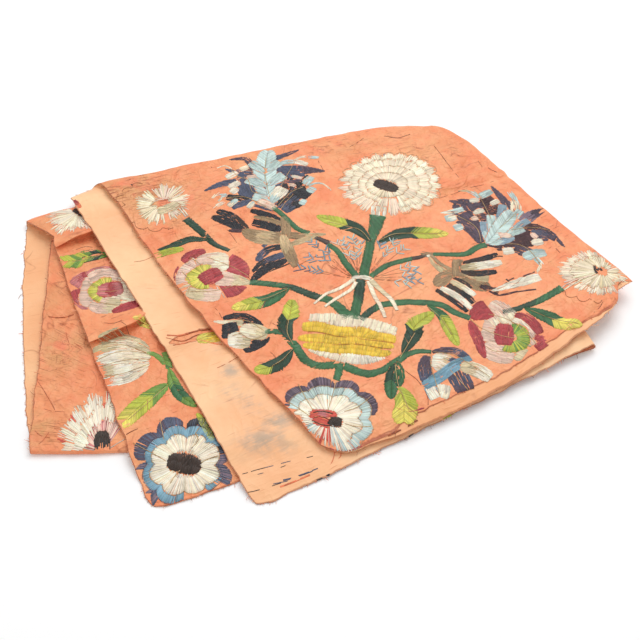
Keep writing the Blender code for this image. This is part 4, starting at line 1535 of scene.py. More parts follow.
# The charts that the panel is worked from. A motif starts with the piece that it makes and the layer
# that carries it. Each row after that is a part, over the earlier ones: its kind, its floss or the
# flosses from its first place to its last, its sizes in the order of the tuples above, its places as
# px,py in the photograph's frame, and what is named. Buds and sprigs have two places each, and a disc
# has its middle and then its width and depth.
FLOWERS = """
great_daisy on top
disc cream 390,183 130,116 0.62 1.02 22 0.12 0.08 0.04 -78 175 edge=fawn
disc cream/blush/cream 390,183 130,116 0.5 1.04 22 0.14 0.1 0.2 175 282
disc blush/rose 388,182 134,116 0.86 1.04 22 0.2 0.2 0.72 50 100
disc cream 390,183 130,116 0.4 0.82 18 0.08 0.06 0.02 -75 215 edge=fawn
disc cream 389,184 130,116 0.25 0.62 14 0.08 0.06 0.02 -65 250 edge=fawn
disc cream/cream/oat 387,185 130,116 0 0.43 11 0.06 0.06 0 185 290
disc cream 387,185 130,116 0 0.42 11 0.06 0.04 0 -70 185 edge=fawn
lobe bark 18 374,182 386,186 398,190 lay=across worn=0
buds ivory 5 373,217 373,206 378,218 378,206 384,217 385,207

right_daisy on top
disc cream/blush/cream 602,272 104,76 0.45 1.04 27 0.14 0.14 0.18 85 275
disc cream/blush/cream 602,272 60,76 0.45 1.04 19 0.14 0.14 0.18 -85 85
disc cream/oat 602,272 92,68 0.2 0.84 17 0.14 0.14 0.08 85 275 edge=fawn
disc cream/oat 602,272 54,68 0.26 0.84 17 0.14 0.14 0.08 -85 85
disc bark 590,276 96,84 0.99 1 18 0.16 0 1 215 280 edge=sepia
line bark 3.5 594,266 595,271 597,274 worn=0
line bark 2.8 597,271 599,268 602,271 worn=0
line cream 1.6 564,290 580,280 592,276 worn=0.1 lift=0.3
line blush 1.4 561,288 575,280 589,277 worn=0.2 lift=0.3

left_daisy on top
disc cream/blush/oat 164,202 68,72 0.26 1.04 23 0.14 0.3 0.26 -70 130
disc cream/oat 160,204 66,74 0.24 1.04 21 0.14 0.28 0.2 130 290
disc bark 158,206 92,88 0.99 1 14 0.16 0 1 175 300 edge=sepia
disc bark 158,204 108,96 0.99 1 18 0.16 0 1 120 240 edge=sepia
lobe oat 17 157,211 168,209 178,203 worn=0.1
petal oat/blush 5 149,206 156,199 168,198 worn=0.2
line ivory 1.6 179,208 186,217 lift=0.2
line cream 1.4 181,207 188,216 lift=0.2

left_rose on top
lobe crimson 26 184,264 194,258 207,254
lobe crimson 8 177,282 177,275 180,267
disc crimson 213,276 90,84 0.4 1 5 0.02 0.02 0.02 -64 62
disc blush 212,276 86,80 0 1 5 0.04 0.02 0.02 62 200
disc blush/oat 212,277 86,82 0 1 5 0.04 0.02 0.02 200 296
lobe blush/cream 34 196,266 213,263 229,262
lobe oat/blush 22 186,291 202,294 221,296
wedge blush/oat 24 216,278 232,280 251,283
disc lime/straw 206,277 48,42 0.3 1 5 0.05 0.05 0.02 75 285
lobe crimson 24 222,272 212,276 201,282
couched gilt 190,258 197,262 201,266
couched gilt 207,258 222,263 236,269 249,277
couched gilt 190,292 205,292 222,290 238,285
couched gilt 182,272 190,282 188,294

right_rose on top
block blush/oat 62 482,326 502,331 532,345
lobe blush/cream 34 487,306 499,312 512,328
lobe blush 26 482,346 496,352 514,357
fan crimson 27 470,318 480,312 489,308
leaf crimson 13 470,320 477,337 485,358
lobe crimson 16 514,315 528,320 540,334
block ivory/blush 12 512,319 524,327 536,344
lobe crimson 12 534,337 546,341 536,348
disc leaf/lime 511,337 44,44 0.3 1 5 0.05 0.05 0.02 -125 115
lobe crimson 22 505,323 504,334 504,345
couched gilt 470,319 485,330 505,336 515,338
couched gilt 486,346 495,351 507,352
couched gilt 488,314 505,318 522,328 537,345

left_tulip on top
lobe ink 9 222,318 240,315 255,321 265,331
lobe ink 9 238,322 251,325 263,329
wedge oat/cream 8 244,323 228,322 213,321
block ink 24 221,331 229,331 239,329
lobe ink 17 268,335 257,343 243,350
lobe ivory/oat 25 227,340 240,340 251,341
petal cream/oat 22 239,329 252,331 268,335
couched gilt 238,319 250,322 264,331
couched gilt 232,336 240,333 252,340 266,335

right_tulip on top
lobe plum/slate 10 432,353 448,350 462,355 473,364
block plum/slate/plum 24 455,369 460,380 466,391 worn=0.2
block ivory/cream 16 444,384 443,391 441,398
block ivory/sky/ivory 14 429,384 431,392 436,399
lobe plum/slate 15 428,355 424,371 430,388
lobe ivory/oat 27 431,361 441,363 455,370
lobe slate 12 448,362 460,364 470,370
block sky 13 423,387 440,377 455,366 472,359
lobe oat/ivory 19 460,367 475,369 491,378
couched gilt 430,354 431,368 435,380 440,396
couched gilt 433,352 450,355 466,362 490,377
couched gilt 450,370 460,381 468,390

front_flower on top
disc plum/grape/plum 328,417 112,108 0.6 1 9 0.2 0.02 0.02 2 166
disc grape/plum 328,419 96,92 0.7 1 9 0.2 0.02 0.02 -28 4
disc ice 328,418 96,86 0.55 1 9 0.1 0.02 0.02 -42 186 edge=fawn
disc ice/ivory 328,418 94,88 0.2 1 9 0.1 0.06 0.04 186 238 edge=fawn
disc blush/poppy/ivory/poppy 328,418 92,88 0.2 1 9 0.1 0.12 0.16 238 275
disc ice/ivory/blush/ice 329,418 94,88 0.2 1 9 0.1 0.06 0.08 275 320 edge=fawn
disc ivory/cream 328,418 74,64 0.2 1 9 0.16 0.03 0.02 -60 205 edge=fawn
lobe poppy/rose/poppy 20 309,416 324,417 336,419
lobe poppy 12 312,420 322,422 332,424
lobe bark 13 328,420 334,422 342,423
line bark 1.3 313,413 322,411 333,414 worn=0.2 lift=0.2
line bark 1.2 312,421 321,425 331,426 worn=0.2 lift=0.2
line rust 1.2 314,418 322,417 330,420 worn=0.3 lift=0.2
couched gilt 298,384 306,399 313,410
couched gilt 336,381 334,390 328,411
couched gilt 370,398 357,408 344,412
couched gilt 371,427 357,427 345,424
couched gilt 288,402 300,410 309,416

third_daisy on third
disc cream/ivory 78,213 72,62 0.1 1 11 0.12 0.1 0.1 -10 190
disc cream/ivory/oat 78,213 72,92 0.1 1 13 0.14 0.16 0.08 190 350
disc blush/cream 78,214 82,100 0.7 1 11 0.12 0.25 0.5 170 330
lobe bark 10 73,210 79,212 85,217 lay=across

third_rose on third
lobe rose/crimson 24 74,287 81,281 92,276
lobe rose 10 86,275 98,270 111,269 worn=0.1
lobe crimson/rose 24 77,289 81,299 92,306
lobe blush/cream 64 80,290 107,291 138,297
lobe blush 20 88,279 104,274 120,276
lobe blush/oat 26 90,303 105,306 120,307
disc lime/straw 107,290 46,42 0.3 1 5 0.06 0.05 0.02 80 255
lobe rose/crimson/rose 25 97,290 108,290 123,287
petal crimson 15 112,314 124,309 142,303
couched gilt 93,300 105,304 118,306
couched gilt 88,282 95,288
couched gilt 98,291 108,292 118,291

third_tulip on third
lobe oat/flax 18 148,351 128,341 99,343
lobe cream/ivory 18 147,365 126,377 104,382
lobe oat/cream/flax 22 150,356 122,347 93,353
lobe cream/ivory/oat 24 150,361 122,366 96,373
petal cream/ivory 20 151,358 122,356 91,363
petal oat/flax 7 98,357 92,362 87,370
couched gilt 149,354 130,351 113,353 96,361
couched gilt 149,364 130,371 113,376 98,378
couched gilt 146,353 125,345 104,348
couched gilt 150,359 125,360 95,368

third_blue_flower on third
disc slate/plum/slate 181,461 106,114 0.6 1 8 0.24 0.02 0.02 92 180
disc ink/slate/ink 184,461 110,112 0.6 1 8 0.22 0.02 0.02 12 90
disc grape/slate 181,462 100,112 0.6 1 8 0.24 0.02 0.02 182 300
disc grape/slate 184,462 104,106 0.6 1 8 0.24 0.02 0.02 300 372
disc sky 183,463 84,92 0.5 1 8 0.16 0.02 0.02 edge=slate
disc ivory/cream 185,464 74,70 0 1 8 0.2 0.02 0.02 edge=gilt
lobe bark 21 167,461 184,464 201,468 lay=across worn=0
couched gilt 160,419 162,430 164,440
couched gilt 133,443 148,451 166,461
couched gilt 200,428 195,434 199,440 191,449
couched gilt 218,456 207,460 201,463
couched gilt 170,484 174,478 180,471

turned_daisy on turn_back
disc ivory/cream 103,453 92,162 0.4 1 14 0.12 0.12 0.03 75 186
disc ivory/cream 103,453 116,176 0.4 0.98 14 0.1 0.16 0.05 108 164
disc poppy/blush 103,453 118,180 0.78 1 14 0.3 0.3 0.66 95 180
disc cream/ivory 103,453 70,140 0.4 1 14 0.12 0.12 0.03 75 186
disc blush/rose/blush 103,452 46,92 0.3 1 9 0.1 0.2 0.3 20 200
lobe bark/ink 17 102,430 102,443 102,457
"""

LEAVES = """
cup on top
line forest 20 378,216 375,228 371,241 end=11
line forest 11 371,240 367,260 363,278 end=12
line pine/forest 12 361,280 358,300 354,319 end=12
leaf pine/pine/lime/lime 19 371,242 358,230 343,224 317,216 lay=feather
leaf pine/pine/lime/straw 20 378,242 397,235 415,233 448,234 lay=feather
couched gilt 370,241 360,230 345,226 328,222
couched gilt 380,240 395,234 415,234 440,234

upper_branches on top
line forest 9 356,276 345,262 337,250 326,243 end=7
line bark 9 329,243 322,240 315,237 end=6
line forest 8 371,277 383,268 398,262 413,259 end=7
line bark 6 412,259 419,258 426,256 end=5
line forest 6 433,255 450,255 467,254 476,248 486,245 end=9
line forest 7 273,207 286,218 298,229 309,233 end=7
line pine 11 186,219 200,231 214,244 229,251 end=6
leaf pine 11 209,240 190,240 170,247 158,250 lay=feather
lobe lime 11 184,249 168,252 153,257

middle_branches on top
line forest 13 349,317 338,307 329,300 318,297 end=10
line pine/forest 10 318,297 304,292 290,287 270,284 250,282 end=8
line pine/forest 9 361,320 370,312 380,306 393,304 end=9
line forest 9 393,304 408,302 425,303 441,305 456,313 470,318 end=8
line pine/forest 7 503,311 520,308 541,300 562,288 end=10
leaf forest/forest/lime/straw 19 290,288 272,298 252,304 232,308 lay=feather
leaf forest/lime/lime 15 427,305 441,315 449,328 458,346 lay=feather
leaf forest/forest/straw/straw 19 524,308 545,316 562,323 582,324 lay=feather
couched gilt 288,289 272,296 258,300
couched gilt 527,309 550,318 578,324
couched gilt 428,307 442,320 452,335

lower_scroll on top
line forest 7 265,332 280,332 288,338 297,348 end=10
line forest 10 297,348 305,360 318,366 334,365 346,367 end=10
line forest 10 344,366 358,372 372,374 386,369 398,361 end=9
line forest 9 398,361 408,354 420,351 431,352 end=5
line forest 10 339,364 339,372 336,380 end=8
leaf pine/pine/lime/lime 20 291,342 286,327 290,315 292,300 lay=feather
leaf pine/pine/lime 19 293,349 283,360 271,367 255,371 lay=feather
leaf pine/pine/lime/lime 20 402,354 412,337 416,325 433,313 lay=feather
petal lime/straw 26 394,385 403,400 404,422 lay=feather
leaf pine/forest 15 398,362 392,378 391,400 lay=feather
leaf forest 11 397,362 400,374 399,388
couched gilt 293,345 287,332 289,320
couched gilt 293,349 282,360 272,366
couched gilt 400,358 409,343 415,333
couched gilt 395,366 398,385 404,400 409,410

third_leaves on third
lobe leaf/pine/leaf/lime/leaf/lime/lime 22 110,254 94,256 79,260 62,262 lay=feather
line pine 1.2 108,252 94,254 82,258 worn=0.3 lift=0.2
line pine 1.2 108,257 96,260 84,263 worn=0.3 lift=0.2
line leaf 5 147,353 154,354 161,359 168,366 end=8
line leaf/forest 8 165,352 168,362 170,372 170,385 end=7
lobe leaf/lime/straw 22 169,383 152,396 138,408 122,423 lay=feather
leaf leaf/forest/leaf 14 169,368 174,384 182,396 196,407 lay=feather
petal straw 13 134,325 143,322 153,327
petal amber/lime 7 121,272 126,279 131,286
petal lime 8 197,413 205,426 213,441
couched gilt 104,254 90,259 72,262
couched gilt 167,386 150,401 128,420

slit_leaf on second
petal straw/amber 16 197,342 210,337 226,337
"""

THISTLES = """
left_thistle on top
lobe slate 34 236,180 250,187 266,200
lobe slate/ink 32 277,208 290,190 304,174
wedge plum 11 257,176 252,166 245,159 229,160
block plum/slate 18 259,176 247,173 236,174
wedge slate 9 247,178 237,173 225,169
wedge slate 13 251,182 238,182 222,184 204,191
block slate 27 241,178 246,188 253,200
block ink/slate 13 226,197 240,199 256,203 276,209
lobe slate 10 253,200 244,203 232,208
wedge slate/plum 10 267,160 281,157 299,150
wedge slate/plum 19 274,170 290,171 306,171 325,172
lobe slate 9 282,176 293,176 305,175
lobe slate/plum 6 278,181 290,182 302,180
lobe slate 6 274,187 280,184 287,183
block slate/ink 24 280,209 292,199 308,189
block slate/ink 13 283,212 292,206 301,203
petal ink 10 277,206 285,196 285,183
petal ice 30 271,208 266,190 265,172 268,151 lay=feather
fan ice 13 265,173 257,167 250,163
fan ice 16 267,187 257,183 247,179
fan ice 14 270,202 262,198 253,196
fan ice 14 267,172 273,167 280,162
fan ice 16 268,186 275,180 284,175
fan ice/ivory 18 271,204 276,196 284,188
lobe blush 12 276,209 267,204 258,201
buds ivory 10 238,172 226,178 240,182 229,188 238,188 231,193
buds ice/cream 8 249,167 240,170 254,201 248,208 238,199 228,206
buds ivory/blush 6 291,176 302,179 246,177 256,176 288,184 296,186
buds ice 11 304,185 312,177 307,188 315,192 299,201 306,203
lobe ice/ivory 9 279,164 292,162 308,166
petal cream/ice 8 294,161 303,158 319,159 worn=0.35
fan ice/cream 13 228,196 221,195 215,200 worn=0.35
fan ivory/cream 9 226,202 219,204 213,209 worn=0.4
line ice/cream 3 308,186 319,183 327,187 331,191 end=1.5 worn=0.1
line cream 1.4 217,168 225,166 232,169 worn=0.1
couched flax 266,158 265,172 267,186 270,197
couched gilt 231,170 240,178 248,180 252,192 260,193
couched gilt 227,198 245,197 257,202 266,207
couched gilt 281,186 288,174 295,163
couched gilt 278,206 289,194 300,188 309,186
couched gilt 281,209 287,201 293,195

right_thistle on top
lobe plum/maroon 38 452,206 470,210 494,214
lobe maroon/plum 30 503,246 522,238 548,234
wedge plum 12 477,210 466,205 449,201
block plum/maroon 26 469,210 482,205 494,199
block maroon 17 485,213 493,209 502,211
wedge plum 13 512,213 503,200 491,186
block bark/plum 16 473,219 482,217 493,221
block plum 24 462,213 470,221 482,234
lobe plum 14 456,222 470,229 482,243
wedge grape/plum 17 521,222 532,215 546,209
wedge maroon/plum 13 516,227 535,227 550,233 565,247
block maroon 29 508,238 520,238 534,239
lobe slate/plum 12 530,232 543,234 556,239
block maroon/plum 15 496,247 515,248 537,256
wedge maroon 6 503,248 494,246 485,245
lobe plum 11 519,252 526,256 533,254
wedge cream/ice 14 516,216 515,202 507,188 worn=0.3
fan ice/mist 11 487,243 485,232 484,222
fan ice 11 493,238 491,226 491,215
fan ice/mist 11 500,234 500,219 503,205
fan ice 10 507,229 513,219 521,210
fan ice/mist 10 506,234 517,227 529,220
fan ice 10 503,239 514,233 524,229
lobe ice/mist 11 488,243 501,242 514,237
petal ice 21 486,244 494,235 504,223 512,212 lay=feather
buds ivory/ice 12 457,217 445,219 463,226 454,229
wedge ice/ivory 8 464,209 452,212 440,213 worn=0.15
lobe ice 11 478,198 485,194 492,191
wedge ice/flax 7 481,199 472,192 458,190 worn=0.1
buds ivory 8 480,200 469,201 473,214 484,210 490,205 499,201
buds blush 8 471,220 478,218 498,235 511,236 531,233 537,238
buds ice/ivory 11 531,243 543,241 502,252 514,250
lobe ice 16 523,258 534,254 546,252
wedge ice/cream 7 535,258 541,264 537,273 worn=0.15
couched gilt 477,193 484,205 491,219
couched gilt 457,216 470,223 478,231 481,243
couched gilt 511,230 525,228 540,228 552,231
couched gilt 506,244 520,245 532,253 541,267
couched flax 499,229 508,221 516,213
"""

BIRDS = """
left_bird on top
lobe ink 10 250,210 265,214 281,221
block ink 17 252,221 266,224 282,229
lobe dun 7 253,216 267,219 285,225
lobe slate 7 262,247 269,242 282,242
lobe slate/ink 11 257,262 265,251 282,246 worn=0.06
lobe ink/slate 12 253,273 266,262 286,253 worn=0.06
petal ink 12 251,282 264,270 288,259 worn=0.06
line bark 2 268,272 280,267 291,263 worn=0.3
lobe ink/bark 13 216,211 231,216 247,230
lobe ink 13 211,217 228,222 245,232
lobe maroon 6 228,231 243,231 worn=0.2
petal dun/fawn/dun 23 242,230 257,236 272,238 290,236
wedge dun/fawn 12 283,234 300,236 326,234
lobe fawn 9 289,245 300,241 317,236
lobe dun 12 283,216 286,227 286,240
petal fawn/dun 15 282,234 288,250 296,267
line sepia 1 296,255 296,263 293,268
line sepia 1.2 294,267 306,261 318,255 worn=0.2

right_bird on top
lobe dun 10 421,256 426,254 433,257
lobe ivory 4 426,257 431,257 lift=0.2
lobe fawn/flax 11 430,257 437,266 449,275
line dun 4 431,256 440,264 455,272 end=6
petal dun 27 434,286 449,278 466,278 489,289
block dun 17 459,259 459,268 459,277
fan flax 11 462,273 476,277 489,279
lobe bark/ink 9 462,264 480,260 498,254
line bark 1.5 494,256 503,256 worn=0.2
lobe bark/ink 9 460,271 478,274 497,271
lobe flax/ivory/ivory 12 460,268 480,266 502,262
lobe maroon/bark 8 479,286 489,288 499,292
line maroon 3 489,289 500,287 511,281 end=2
line maroon 3 489,291 499,295 515,292 536,290 end=1.5 worn=0.2
fan ivory 13 491,291 512,285 540,277
line bark 1.4 508,281 514,278
line bark 1.4 509,282 506,279
line maroon 1.4 523,277 535,272 worn=0.2
block bark/ink 11 436,289 452,298 469,311
block bark/ink 11 447,285 461,293 473,304
block ivory 8 440,288 456,296 472,309
lobe bark 8 453,278 463,283 471,289
block oat/ivory 8 450,281 462,287 475,296
"""

VASE = """
vase on top
block cream 24 309,320 340,322 370,327 396,334 lay=across
lobe cream/ivory 20 306,345 330,352 360,358 390,353 lay=across
block amber 16 302,327 318,327 335,331 350,333 359,332 376,337 396,340 lay=across worn=0
lobe amber 15 298,338 318,338 335,341 352,342 366,343 394,347 lay=across worn=0
lobe amber 14 303,345 320,347 337,349 352,349 368,351 382,354 391,353 lay=across worn=0
line copper 0.8 303,332 318,332 335,336 352,338 366,340 393,343 worn=0.35 lift=0.3
line copper 0.8 304,344 327,345 343,345 360,345 391,350 worn=0.35 lift=0.3

ribbon on top
lobe ivory 6 351,279 361,277 371,280 lift=0.4
line cream 6 354,280 339,289 326,294 314,304 end=2.5 lift=0.5
line cream 5 356,283 350,291 336,299 325,307 end=3 lift=0.5
line cream 6 369,282 374,296 380,306 385,318 end=4 lift=0.5
line oat/cream 7 371,281 380,290 391,300 397,311 end=4 lift=0.5

sprigs on top
sprigs mist/sky 352,277 312,243 352,277 324,249
sprigs sky/mist 352,277 311,257
sprigs mist/sky 350,277 322,258
sprigs slate/sky 350,278 302,270
sprigs mist/sky 350,278 316,270
sprigs ice/mist 358,271 343,241 358,271 352,239 359,271 361,243
sprigs ice 357,271 348,251 359,270 356,253
sprigs ice/blush 356,272 338,242
sprigs ice/mist 371,272 382,243
sprigs ice 371,272 393,242 371,274 388,251
sprigs blush/ice 372,274 403,249
sprigs mist/ice 374,278 407,266 374,278 415,271
sprigs ice/mist 374,279 411,277
sprigs ice 374,280 406,283
sprigs mist 374,280 417,282
"""


# In top_splits, turned_splits and third_splits most rust and copper lines lie along creases and folds, or
# under a tuck's lip. They are painted crease shade, with a few real splits in the silk among them. In
# lining_tears the copper lines along the slit are its torn edge darkened by painted shadow, and the ink and
# slate lines are stitches that show through. The crimson lobe of turned_corner is painted shade inside the
# curl at the second quarter's back corner.
SPLITS_AND_SHADE = """
top_splits on top
line rust 1 434,146 440,154 446,162 worn=0.2
line rust 0.7 446,162 453,171 459,178 worn=0.3
line rust 1.3 488,168 492,171 497,173 worn=0.1
line rust 0.7 478,161 481,165 483,169 worn=0.2
line rust 1 349,148 357,143 364,138 worn=0.1
line rust 1.2 384,136 396,138 410,134 worn=0.1
line rust 0.8 318,162 321,167 324,172 worn=0.2
line rust 0.8 227,230 232,236 237,243 worn=0.2
line rust 0.7 313,231 325,240 338,248 worn=0.3
line rust 1.3 556,248 558,251 560,253 worn=0
line rust 1 405,371 417,381 425,391 worn=0.1
line rust 0.9 425,391 428,399 428,406 worn=0.1
line rust 0.9 439,198 452,194 467,188 481,185 494,180 worn=0.4
line rust 0.7 272,323 280,328 285,334 worn=0.3
line rust 0.7 232,262 247,276 255,286 worn=0.3
line rust 0.9 204,157 208,163 212,168 worn=0.2
line rust 0.8 372,360 380,357 388,358 worn=0.3
line rust 0.8 603,301 600,307 594,312 worn=0.2
line rust 0.7 270,352 276,358 279,366 worn=0.3
line rust 0.8 510,288 517,283 524,276 worn=0.2
line rust 0.7 215,308 219,312 222,318 worn=0.2

red_hem on top
line crimson/rust/crimson 2 322,444 333,450 347,451 362,446 worn=0.45
line copper/rust 1.4 372,442 395,433 420,420 worn=0.55
line copper/crimson 1.4 395,408 410,412 424,408 worn=0.4

turned_splits on turn_back
line copper 1.3 48,317 60,318 74,315 worn=0.1
line copper 0.8 38,382 47,396 55,410 worn=0.4
line copper 1.2 44,409 54,412 65,413 worn=0.1
line copper 0.8 66,332 67,338 69,343 worn=0.2
line copper 0.8 74,343 79,346 83,350 worn=0.2
line copper 0.7 60,325 68,324 75,325 worn=0.3
line copper 0.7 34,430 40,436 50,438 worn=0.4
line copper 0.6 36,447 43,441 49,433 worn=0.5

third_splits on third
line rust 1.2 121,437 130,432 138,429 worn=0.1
line rust 0.8 123,329 128,333 132,338 worn=0.2
line rust 0.8 76,250 86,247 94,248 worn=0.2
line rust 0.7 105,326 116,329 127,325 worn=0.3

turned_corner on second
lobe crimson/coral 6 74,200 77,203 80,208 worn=0

lining_tears on second
line copper 1.2 166,339 176,342 186,342 197,336 221,330 worn=0.05
line coral/copper 2 167,336 180,337 196,332 210,329 worn=0.2
line copper/coral 1.2 173,347 184,345 194,341 worn=0.1
line coral 1.6 190,343 203,341 222,345 worn=0.2
line copper 0.8 217,368 228,363 238,357 worn=0.2
line copper 0.8 134,262 144,260 154,256 worn=0.2
line ink/slate/ink 1 242,474 270,466 313,456 worn=0.3
line slate/ink 0.9 254,475 275,469 300,460 worn=0.4
line slate/coral/lime 1.2 273,484 290,480 308,473 worn=0.35
line coral 1.4 280,487 296,481 310,475 worn=0.3
line slate 1.4 283,480 296,477 318,469 worn=0.3
line ink 1 243,493 262,489 284,482 worn=0.3
line slate/ice/slate 2.4 221,462 232,479 244,497 worn=0.1
line ink 2.6 317,481 324,478 330,475 worn=0.1
line ink 2.4 379,453 383,451 387,448 worn=0.1
line slate/ink 2.4 394,446 403,441 414,434 worn=0.1
line sepia/lime 1.6 430,428 444,419 457,411 worn=0.2
"""

# The two threads that have been pulled out of the top quarter's front hem, px and py along each,
# with the height that these are read at, their width, and their height over the floor in millimetres
# at the hem and at the end
PULLED_LEVEL = 1.2 * MM
PULLED_WIDTH = 0.9 * MM
PULLED_FROM, PULLED_TO = 7.0, 1.0
PULLED = (
    ((335, 334, 331, 325, 318), (452, 458, 465, 469, 470)),
    ((339, 341, 338, 335, 337), (452, 457, 461, 466, 471)),
)


class PANEL_OT_silk(bpy.types.Operator):
    """Folds the embroidered silk"""

    bl_idname = "silk_panel.silk"
    bl_label = "Fold the silk"

    def execute(self, context):
        settings = context.scene.panel_cloth
        low, high = settings.gap / 2, settings.gap / 2 + settings.silk
        piece, used = lined_sheet("silk_face", folded_cloth().silk_quads, low, high, worn_silk())
        paint(piece, used, "worn", WORN)
        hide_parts("embroidered_silk")
        return {"FINISHED"}


class PANEL_OT_lining(bpy.types.Operator):
    """Folds the lining with the silk"""

    bl_idname = "silk_panel.lining"
    bl_label = "Fold the lining"

    def execute(self, context):
        settings = context.scene.panel_cloth
        low, high = -settings.gap / 2 - settings.lining, -settings.gap / 2
        piece, used = lined_sheet("lining_face", folded_cloth().lining_quads, low, high, lining_silk())
        paint(piece, used, "ghost", GHOSTS)
        paint(piece, used, "worn", BROWNED)
        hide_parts("silk_lining")
        return {"FINISHED"}


def work(chart):
    """Embroiders each motif of a chart as one piece."""
    finish = bpy.data.materials.get("silk_satin_floss") or silk_floss()
    for motif in motifs_of(chart):
        rng = np.random.default_rng(sum(map(ord, motif.piece)))
        groups = [MAKERS[type(part)](part, motif.layer, rng) for part in motif.parts]
        embroider(motif.piece, motif.layer, uncovered(groups), finish)


class PANEL_OT_flowers(bpy.types.Operator):
    """Embroiders the daisies, roses, tulips and round flowers"""

    bl_idname = "silk_panel.flowers"
    bl_label = "Embroider the flowers"

    def execute(self, context):
        work(FLOWERS)
        return {"FINISHED"}


class PANEL_OT_leaves(bpy.types.Operator):
    """Embroiders the stems and leaves"""

    bl_idname = "silk_panel.leaves"
    bl_label = "Embroider the stems and leaves"

    def execute(self, context):
        work(LEAVES)
        return {"FINISHED"}


class PANEL_OT_thistles(bpy.types.Operator):
    """Embroiders the two thistles"""

    bl_idname = "silk_panel.thistles"
    bl_label = "Embroider the thistles"

    def execute(self, context):
        work(THISTLES)
        return {"FINISHED"}


class PANEL_OT_birds(bpy.types.Operator):
    """Embroiders the two birds"""

    bl_idname = "silk_panel.birds"
    bl_label = "Embroider the birds"

    def execute(self, context):
        work(BIRDS)
        return {"FINISHED"}


class PANEL_OT_vase(bpy.types.Operator):
    """Embroiders the vase, its ribbon and the sprigs"""

    bl_idname = "silk_panel.vase"
    bl_label = "Embroider the vase"

    def execute(self, context):
        work(VASE)
        return {"FINISHED"}


class PANEL_OT_splits_and_shade(bpy.types.Operator):
    """Draws the splits in the silk, dark lines of painted shade along its creases, folds and tuck lips, and
    the dark stitches that the torn lining lets through
    """

    bl_idname = "silk_panel.splits"
    bl_label = "Split the silk"

    def execute(self, context):
        work(SPLITS_AND_SHADE)
        return {"FINISHED"}


class PANEL_OT_thread_ends(bpy.types.Operator):
    """Frays the hems and tears, and pulls two long threads out of the front hem"""

    bl_idname = "silk_panel.thread_ends"
    bl_label = "Fray the hems"

    def execute(self, context):
        settings = context.scene.panel_cloth
        finish, whole = bpy.data.materials["silk_satin_floss"], folded_cloth()
        rng = np.random.default_rng(77)
        offset = (settings.gap + settings.silk) / 2
        hem_ends("silk_hem_ends", whole.silk_quads, offset, "coral/coral/rust/peach", finish,
                 rng)
        hem_ends("lining_hem_ends", whole.lining_quads, -offset, "peach/peach/coral/sepia", finish,
                 rng)
        links = []
        for px, py in PULLED:
            path = curve(on_level(px, py, PULLED_LEVEL), 4)
            path = np.column_stack([path, np.linspace(PULLED_FROM, PULLED_TO, len(path)) * MM])
            middles = (path[:-1] + path[1:]) / 2
            links.append(np.stack([path[:-1], middles, path[1:]], axis=1))
        links = np.concatenate(links)
        count = len(links)
        sewn("pulled_threads", links, np.broadcast_to(UPWARDS, links.shape), np.full(count, PULLED_WIDTH),
             np.zeros(count), dyes(["coral"] * count), finish)
        return {"FINISHED"}


def area_light(name, size, power, location):
    """A square light that faces the middle of the floor."""
    data = bpy.data.lights.new(name, "AREA")
    data.size = size
    data.energy = power
    light = bpy.data.objects.new(name, data)
    light.location = location
    light.rotation_euler = (-Vector(location)).to_track_quat("-Z", "Y").to_euler()
    bpy.context.scene.collection.objects.link(light)


# The floor is just under the cloth. Of the two lights, where they stand, how wide they are, and the
# fill's share of the key's power.
FLOOR_SIZE = 14
FLOOR_AT = (0, 0, -0.0002)
KEY_AT, KEY_SIZE = (0.3, 1.0, 1.7), 1.4
FILL_AT, FILL_SIZE, FILL_SHARE = (-1.2, -1.0, 1.8), 2.2, 0.22


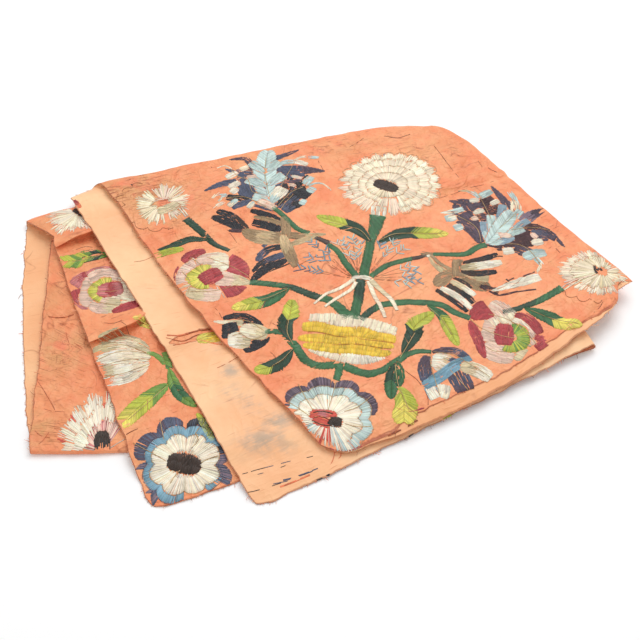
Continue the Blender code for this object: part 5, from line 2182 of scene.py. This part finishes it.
class PANEL_OT_studio(bpy.types.Operator):
    """Builds the pale floor, the soft lights and the camera"""

    bl_idname = "silk_panel.studio"
    bl_label = "Set the studio"

    def execute(self, context):
        settings = context.scene.panel_studio
        scene = context.scene
        floor_mat, _, shader = new_material("pale_paper_sweep")
        shader.inputs["Base Color"].default_value = linear(settings.floor_colour)
        shader.inputs["Roughness"].default_value = 0.9
        bpy.ops.object.select_all(action="DESELECT")
        bpy.ops.mesh.primitive_plane_add(size=FLOOR_SIZE, location=FLOOR_AT)
        floor = context.object
        floor.name = "floor"
        floor.data.materials.append(floor_mat)
        area_light("key", KEY_SIZE, settings.key, KEY_AT)
        area_light("fill", FILL_SIZE, settings.key * FILL_SHARE, FILL_AT)
        world = bpy.data.worlds.new("studio")
        world.use_nodes = True
        world.node_tree.nodes["Background"].inputs[0].default_value = (1, 1, 1, 1)
        world.node_tree.nodes["Background"].inputs[1].default_value = settings.sky
        scene.world = world
        scene.view_settings.view_transform = "Standard"
        data = bpy.data.cameras.new("camera")
        data.lens = VIEW_LENS
        data.sensor_width = VIEW_SENSOR
        camera = bpy.data.objects.new("camera", data)
        target = Vector(VIEW_TARGET)
        back = Vector((0, -np.cos(VIEW_ELEVATION), np.sin(VIEW_ELEVATION)))
        camera.location = target + back * VIEW_DISTANCE
        camera.rotation_euler = (-back).to_track_quat("-Z", "Y").to_euler()
        scene.collection.objects.link(camera)
        scene.camera = camera
        return {"FINISHED"}


OPERATORS = (PANEL_OT_silk, PANEL_OT_lining, PANEL_OT_flowers, PANEL_OT_leaves, PANEL_OT_thistles,
             PANEL_OT_birds, PANEL_OT_vase, PANEL_OT_splits_and_shade, PANEL_OT_thread_ends, PANEL_OT_studio)


class PANEL_PT_silk_panel(bpy.types.Panel):
    """Lists the steps that make the panel"""

    bl_label = "Silk panel"
    bl_idname = "PANEL_PT_silk_panel"
    bl_space_type = "VIEW_3D"
    bl_region_type = "UI"
    bl_category = "Silk panel"

    def draw(self, context):
        for operator in OPERATORS:
            self.layout.operator(operator.bl_idname)
        for group in (context.scene.panel_cloth, context.scene.panel_floss, context.scene.panel_studio):
            box = self.layout.box()
            for name in group.bl_rna.properties.keys():
                if name not in ("rna_type", "name"):
                    box.prop(group, name)


CLASSES = (ClothSettings, FlossSettings, StudioSettings, *OPERATORS, PANEL_PT_silk_panel)


def register():
    for cls in CLASSES:
        bpy.utils.register_class(cls)
    bpy.types.Scene.panel_cloth = PointerProperty(type=ClothSettings)
    bpy.types.Scene.panel_floss = PointerProperty(type=FlossSettings)
    bpy.types.Scene.panel_studio = PointerProperty(type=StudioSettings)


def unregister():
    del bpy.types.Scene.panel_studio
    del bpy.types.Scene.panel_floss
    del bpy.types.Scene.panel_cloth
    for cls in reversed(CLASSES):
        bpy.utils.unregister_class(cls)


def main():
    register()
    bpy.ops.silk_panel.silk()
    bpy.ops.silk_panel.lining()
    bpy.ops.silk_panel.flowers()
    bpy.ops.silk_panel.leaves()
    bpy.ops.silk_panel.thistles()
    bpy.ops.silk_panel.birds()
    bpy.ops.silk_panel.vase()
    bpy.ops.silk_panel.splits()
    bpy.ops.silk_panel.thread_ends()
    bpy.ops.silk_panel.studio()


if __name__ == "__main__":
    main()
